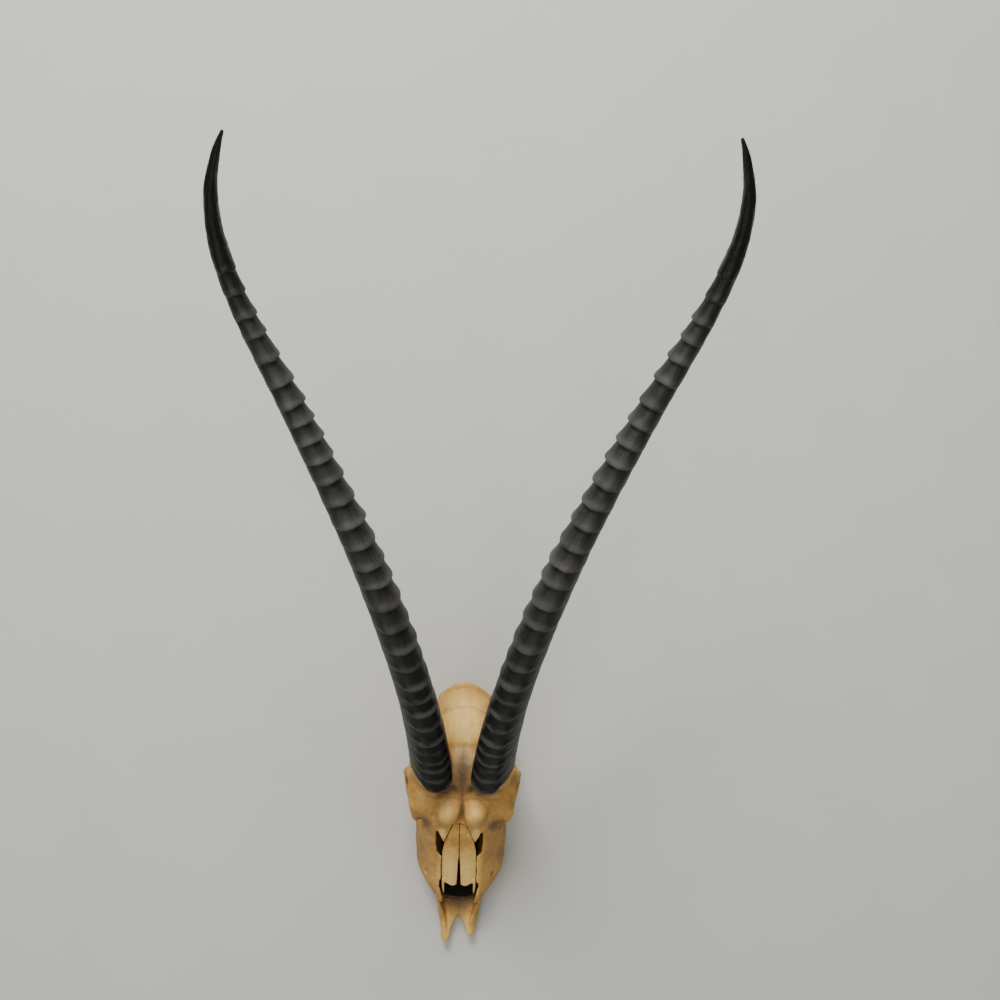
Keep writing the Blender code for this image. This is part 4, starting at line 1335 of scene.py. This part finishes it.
def tooth_piece(index, side):
    """Cheek tooth: ribbed crown, tapered root, worn face with its folds."""
    # Heights from root to crown, each with the share of the full section there
    profile = (
        (TOOTH_HEIGHT, 0.68), (16, 0.84), (13, 0.95), (10, 0.99), (6, 1.0), (3, 1.0), (1.2, 0.985),
        (0.4, 0.965), (0.0, 0.93),
    )
    loops = [tooth_loop(index, side, z, scale) for z, scale in profile]
    rim = np.array(tooth_loop(index, side, 0.0, 0.93))
    centre = rim.mean(0)
    half_length = TOOTH_LENGTHS[index] / 2
    half_width = TOOTH_WIDTHS[index] / 2
    lobes = (-0.46, 0.46) if index > 2 else (0.0,)
    for step in range(1, 12):
        loop = []
        for point in centre + (rim - centre) * (1 - step / 12):
            x = side * (point[0] - side * TOOTH_X[index]) / half_width
            u = (point[1] - centre[1]) / half_length
            nearest = 9.0
            for lobe in lobes:
                size = 0.36 if len(lobes) > 1 else 0.5
                bow = 0.22 - 0.55 * (1 - ((u - lobe) / size) ** 2) ** 2 * (abs(u - lobe) < size)
                past = max(0.0, abs(u - lobe) - size)
                nearest = min(nearest, abs(x + 0.12 - bow) + 2.2 * past)
            fold = np.exp(-((nearest / 0.16) ** 2))
            collar = np.exp(-(((nearest - 0.34) / 0.12) ** 2))
            edge = min(1.0, step / 2.5)
            loop.append((point[0], point[1], edge * (0.75 + 1.3 * fold - 0.55 * collar)))
        loops.append(loop)
    piece = new_object(f"crown_{TOOTH_NAMES[index]}_{'left' if side < 0 else 'right'}", [skin(loops)])
    points = read_surface(piece)[0]

    # Stained towards the root and in the folds of the worn face
    root = rising(points[:, 2], 9.5, 15.5)
    worn = rising(points[:, 2], 0.5, 1.3) * (points[:, 2] < 2.4)
    inside = np.abs(points[:, 0] - side * TOOTH_X[index]) < 0.8 * half_width
    store(piece, "stain", np.maximum(root * 0.9, worn * inside * 0.85) + 0.08)
    return piece


def nasal_piece(side):
    """Nasal bone: a thin arched plate that ends in two prongs with a notch between."""
    paths = smooth_path([np.array(row) for row in NASAL_STATIONS], 8)
    loops = []
    for s, inner, outer, top in paths:
        upper = []
        lower = []
        for i in range(11):
            part = i / 10
            x = inner + (outer - inner) * part
            sag = NASAL_DROP * x * x
            bow = 0.5 * sin(pi * part) * min(1.0, (outer - inner) / 12)
            ahead = max(0.0, 1.0 - (s - NASAL_STATIONS[0][0]) / 9.0)
            forward = -1.6 * ahead * sin(pi * min(1.0, part * 1.7)) + 2.6 * ahead * part**3
            z = top - sag + bow - NASAL_LOWERED + forward * NASAL_SLOPE
            upper.append((side * x, s + forward, z))
            lower.append((side * x, s + forward, z - NASAL_THICKNESS))
        loops.append(upper + lower[::-1])
    shapes = [skin(loops), rod([(side * x, s, z) for x, s, z in PRONG], PRONG_RADII)]
    piece = new_object(f"nasal_plate_{'left' if side < 0 else 'right'}", shapes)
    fused(piece, THIN_VOXEL, 2)
    return piece


def premaxilla_shape(side, grow=0.0):
    """Front bone of the upper jaw: a flat tip that runs back and up as a thin wall."""
    rows = []
    start = PREMAXILLA[0][0]
    for s, section in PREMAXILLA:
        lag = max(0.0, 1.0 - (s - start) / PREMAXILLA_TIP_REACH) * (PREMAXILLA_TIP[side] - start)
        rows.append(np.array([(side * x, s + lag, z) for x, z in section]))
    paths = [smooth_path([row[i] for row in rows], 5) for i in range(len(rows[0]))]
    loops = [[path[i] for path in paths] for i in range(len(paths[0]))]
    loops = [smooth_path(loop, 2, closed=True) for loop in loops]
    shape = skin(loops)
    return grown(shape, grow) if grow else shape


def build_skull(settings):
    """Fused skull with its hollows, sockets and seats, carved and stained."""
    skull = new_object("skull_bone", skull_forms())
    fused(skull, FIRST_VOXEL, 2)
    points = read_surface(skull)[0]
    points[:, 0] += crook(points)
    write_surface(skull, points)
    hollows = new_object("hollows", skull_hollows())
    fused(hollows, FIRST_VOXEL, 0)
    cut(skull, hollows)
    fused(skull, HOLLOWED_VOXEL, 2)
    under_floor = prism(((-60, -20), (60, -20), (60, 300), (-60, 300)), -40, 0)
    prong_ends = both(ball((19.2, 63.1, 43.3), (1.9, 1.5, 2.0), 6, 10))
    nose_floor_step = both(prism(((10.5, 42), (16.6, 42), (16.6, 44.6), (10.5, 44.2)), 20, 25))
    rooms = [under_floor, nasal_slot()]
    rooms += [premaxilla_shape(side, PREMAXILLA_GAP) for side in (-1, 1)]
    rooms += prong_ends + nose_floor_step
    rooms += both(prism(FISSURE, 50, 90)) + both(prism(ORBIT_EDGE, 58, 100))
    rooms += [horn_seat(side) for side in (-1, 1)]

    # Sockets follow the teeth's own profile and run out below it
    socket = ((TOOTH_HEIGHT + 0.5, 0.68), (13, 0.95), (8, 1.0), (-2, 1.0))
    for side in (-1, 1):
        for index in range(len(TOOTH_NAMES)):
            rooms.append(skin([tooth_loop(index, side, z, scale, TOOTH_ROOM) for z, scale in socket]))
    for room in rooms:
        cut(skull, new_object("cutter", [room]))
    fused(skull, settings.voxel / MM, 3)
    carve(skull, SUTURES, CHANNELS, BOSSES, settings.roughening / MM)
    for region in PITTED:
        pit(skull, *region)
    count = sum(len(face.vertices) - 2 for face in skull.data.polygons)
    modified(skull, "DECIMATE", ratio=min(1.0, SKULL_TRIANGLES / count))
    horns = [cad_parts[name] for name in ("horn_left", "horn_right")]
    mark(skull, SUTURES, ray_tree([skull] + horns))
    return skull


class GAZELLE_OT_skull(bpy.types.Operator):
    """Build the skull's bone"""

    bl_idname = "gazelle.skull"
    bl_label = "Skull bone"

    def execute(self, context):
        settings = context.scene.gazelle_bone
        bone = bone_material("Weathered bone", (*settings.colour, 1.0), ("#9a763e", "#caa45a"))
        skull = build_skull(settings)
        finish_piece(skull, ["skull"], bone)
        return {"FINISHED"}


class GAZELLE_OT_nose(bpy.types.Operator):
    """Build the nasal bones and the two bones at the front of the upper jaw"""

    bl_idname = "gazelle.nose"
    bl_label = "Nasal bones and premaxillae"

    def execute(self, context):
        settings = context.scene.gazelle_bone
        # Lighter tones on the nasal bones and premaxillae: partly lighter bone, partly painted
        # highlight
        bone = bone_material("Nasal bone", (*settings.colour, 1.0), ("#b18b46", "#dab35f"))
        pieces = []
        for side, word in SIDES:
            pieces.append((nasal_piece(side), f"nasal_bone_{word}"))
            front = new_object(f"jaw_front_{word}", [premaxilla_shape(side)])
            fused(front, THIN_VOXEL, 3)
            pieces.append((front, f"premaxilla_{word}"))
        around = [piece for piece, node in pieces] + [bpy.data.objects["skull_bone"]]
        tree = ray_tree(around)
        for piece, node in pieces:
            carve(piece, (), (), (), 0.2)
            mark(piece, (), tree, -0.1)
            finish_piece(piece, [node], bone)
        return {"FINISHED"}


class GAZELLE_OT_teeth(bpy.types.Operator):
    """Build the twelve cheek teeth"""

    bl_idname = "gazelle.teeth"
    bl_label = "Cheek teeth"

    def execute(self, context):
        enamel = tooth_material((*context.scene.gazelle_bone.enamel, 1.0))
        for side, word in SIDES:
            for index, name in enumerate(TOOTH_NAMES):
                tooth = tooth_piece(index, side)
                finish_piece(tooth, [f"tooth_{name}_{word}"], enamel)
        return {"FINISHED"}


class GAZELLE_OT_horns(bpy.types.Operator):
    """Build the two ringed horns"""

    bl_idname = "gazelle.horns"
    bl_label = "Horns"

    def execute(self, context):
        settings = context.scene.gazelle_horns
        keratin = horn_material((*settings.colour, 1.0))
        tree = horn_tree()
        names = {item.name: item.identifier for item in tree.interface.items_tree
                 if item.in_out == "INPUT"}
        for side, word in SIDES:
            horn = horn_line(side)
            horn.name = f"horn_sheath_{word}"
            sweep = horn.modifiers.new("Ringed horn", "NODES")
            sweep.node_group = tree
            given = {
                "Stations": settings.stations, "Sides": settings.sides, "Material": keratin,
                "Ring relief": settings.relief, "Ring overhang": settings.overhang,
                "Grain depth": settings.grain, "Seed": settings.seed + side,
            }
            for name, value in given.items():
                sweep[names[name]] = value
            graph = bpy.context.evaluated_depsgraph_get()
            mesh = bpy.data.meshes.new_from_object(horn.evaluated_get(graph))
            horn.modifiers.clear()
            horn.data = mesh
            work = bmesh.new()
            work.from_mesh(mesh)
            bmesh.ops.recalc_face_normals(work, faces=work.faces)
            work.to_mesh(mesh)
            work.free()
            finish_piece(horn, [f"horn_{word}"], keratin)
        return {"FINISHED"}


class GAZELLE_OT_stage(bpy.types.Operator):
    """Build the floor, the lights and the camera"""

    bl_idname = "gazelle.stage"
    bl_label = "Floor, lights and camera"

    def execute(self, context):
        settings = context.scene.gazelle_stage
        material, tree, shader = new_material("Painted floor", {"Roughness": 0.85})
        node = partial(add, tree)
        place = node("coordinates").outputs["Object"]
        cloud = node("noise", place, 14.0, 6.0)
        colour = (*settings.floor_colour, 1.0)
        darker = (*(0.93 * value for value in settings.floor_colour), 1.0)
        tone = node("mix", cloud, colour, darker)
        tree.links.new(tone.outputs[2], shader.inputs["Base Color"])
        corners = [(-4, -4, 0), (4, -4, 0), (4, 4, 0), (-4, 4, 0)]
        floor_plane = placed_mesh("floor", corners, [], [(0, 1, 2, 3)])
        floor_plane.data.materials.append(material)

        for name, spot_place, size, share in LIGHTS:
            light = bpy.data.lights.new(name, "AREA")
            light.size = size
            light.energy = settings.light * share
            holder = bpy.data.objects.new(name, light)
            aim = Vector(LIT_PLACE) - Vector(spot_place)
            holder.location = spot_place
            holder.rotation_euler = aim.to_track_quat("-Z", "Y").to_euler()
            context.scene.collection.objects.link(holder)
        world = bpy.data.worlds.new("Studio")
        world.use_nodes = True
        backdrop = world.node_tree.nodes["Background"]
        backdrop.inputs["Color"].default_value = linear("#edeae4")
        backdrop.inputs["Strength"].default_value = 0.3
        context.scene.world = world

        camera = bpy.data.cameras.new("camera")
        camera.lens = 45
        camera.sensor_width = 36
        camera.sensor_fit = "HORIZONTAL"
        viewer = bpy.data.objects.new("camera", camera)
        viewer.location = (*CAMERA_PLACE, settings.camera_height)
        viewer.rotation_euler = (0.0, 0.0, radians(CAMERA_TURN))
        context.scene.collection.objects.link(viewer)
        context.scene.camera = viewer
        return {"FINISHED"}


class GAZELLE_PT_panel(bpy.types.Panel):
    """Lists the pieces and their sizes"""

    bl_label = "Gazelle skull"
    bl_idname = "GAZELLE_PT_panel"
    bl_space_type = "VIEW_3D"
    bl_region_type = "UI"
    bl_category = "Skull"

    def draw(self, context):
        layout = self.layout
        for name in ("gazelle_bone", "gazelle_horns", "gazelle_stage"):
            box = layout.box()
            settings = getattr(context.scene, name)
            for field in settings.bl_rna.properties:
                if not field.is_readonly and field.identifier != "name":
                    box.prop(settings, field.identifier)
        for operator in OPERATORS:
            layout.operator(operator.bl_idname)


OPERATORS = (
    GAZELLE_OT_skull, GAZELLE_OT_nose, GAZELLE_OT_teeth, GAZELLE_OT_horns, GAZELLE_OT_stage,
)
CLASSES = (HornSettings, BoneSettings, StageSettings) + OPERATORS + (GAZELLE_PT_panel,)


def register():
    """Make the settings, the operators and the panel known."""
    for kind in CLASSES:
        bpy.utils.register_class(kind)
    bpy.types.Scene.gazelle_horns = PointerProperty(type=HornSettings)
    bpy.types.Scene.gazelle_bone = PointerProperty(type=BoneSettings)
    bpy.types.Scene.gazelle_stage = PointerProperty(type=StageSettings)


def unregister():
    """Take them away again."""
    for name in ("gazelle_horns", "gazelle_bone", "gazelle_stage"):
        delattr(bpy.types.Scene, name)
    for kind in reversed(CLASSES):
        bpy.utils.unregister_class(kind)


def main():
    """Build every piece."""
    register()
    bpy.ops.gazelle.skull()
    bpy.ops.gazelle.nose()
    bpy.ops.gazelle.teeth()
    bpy.ops.gazelle.horns()
    bpy.ops.gazelle.stage()


if __name__ == "__main__":
    main()
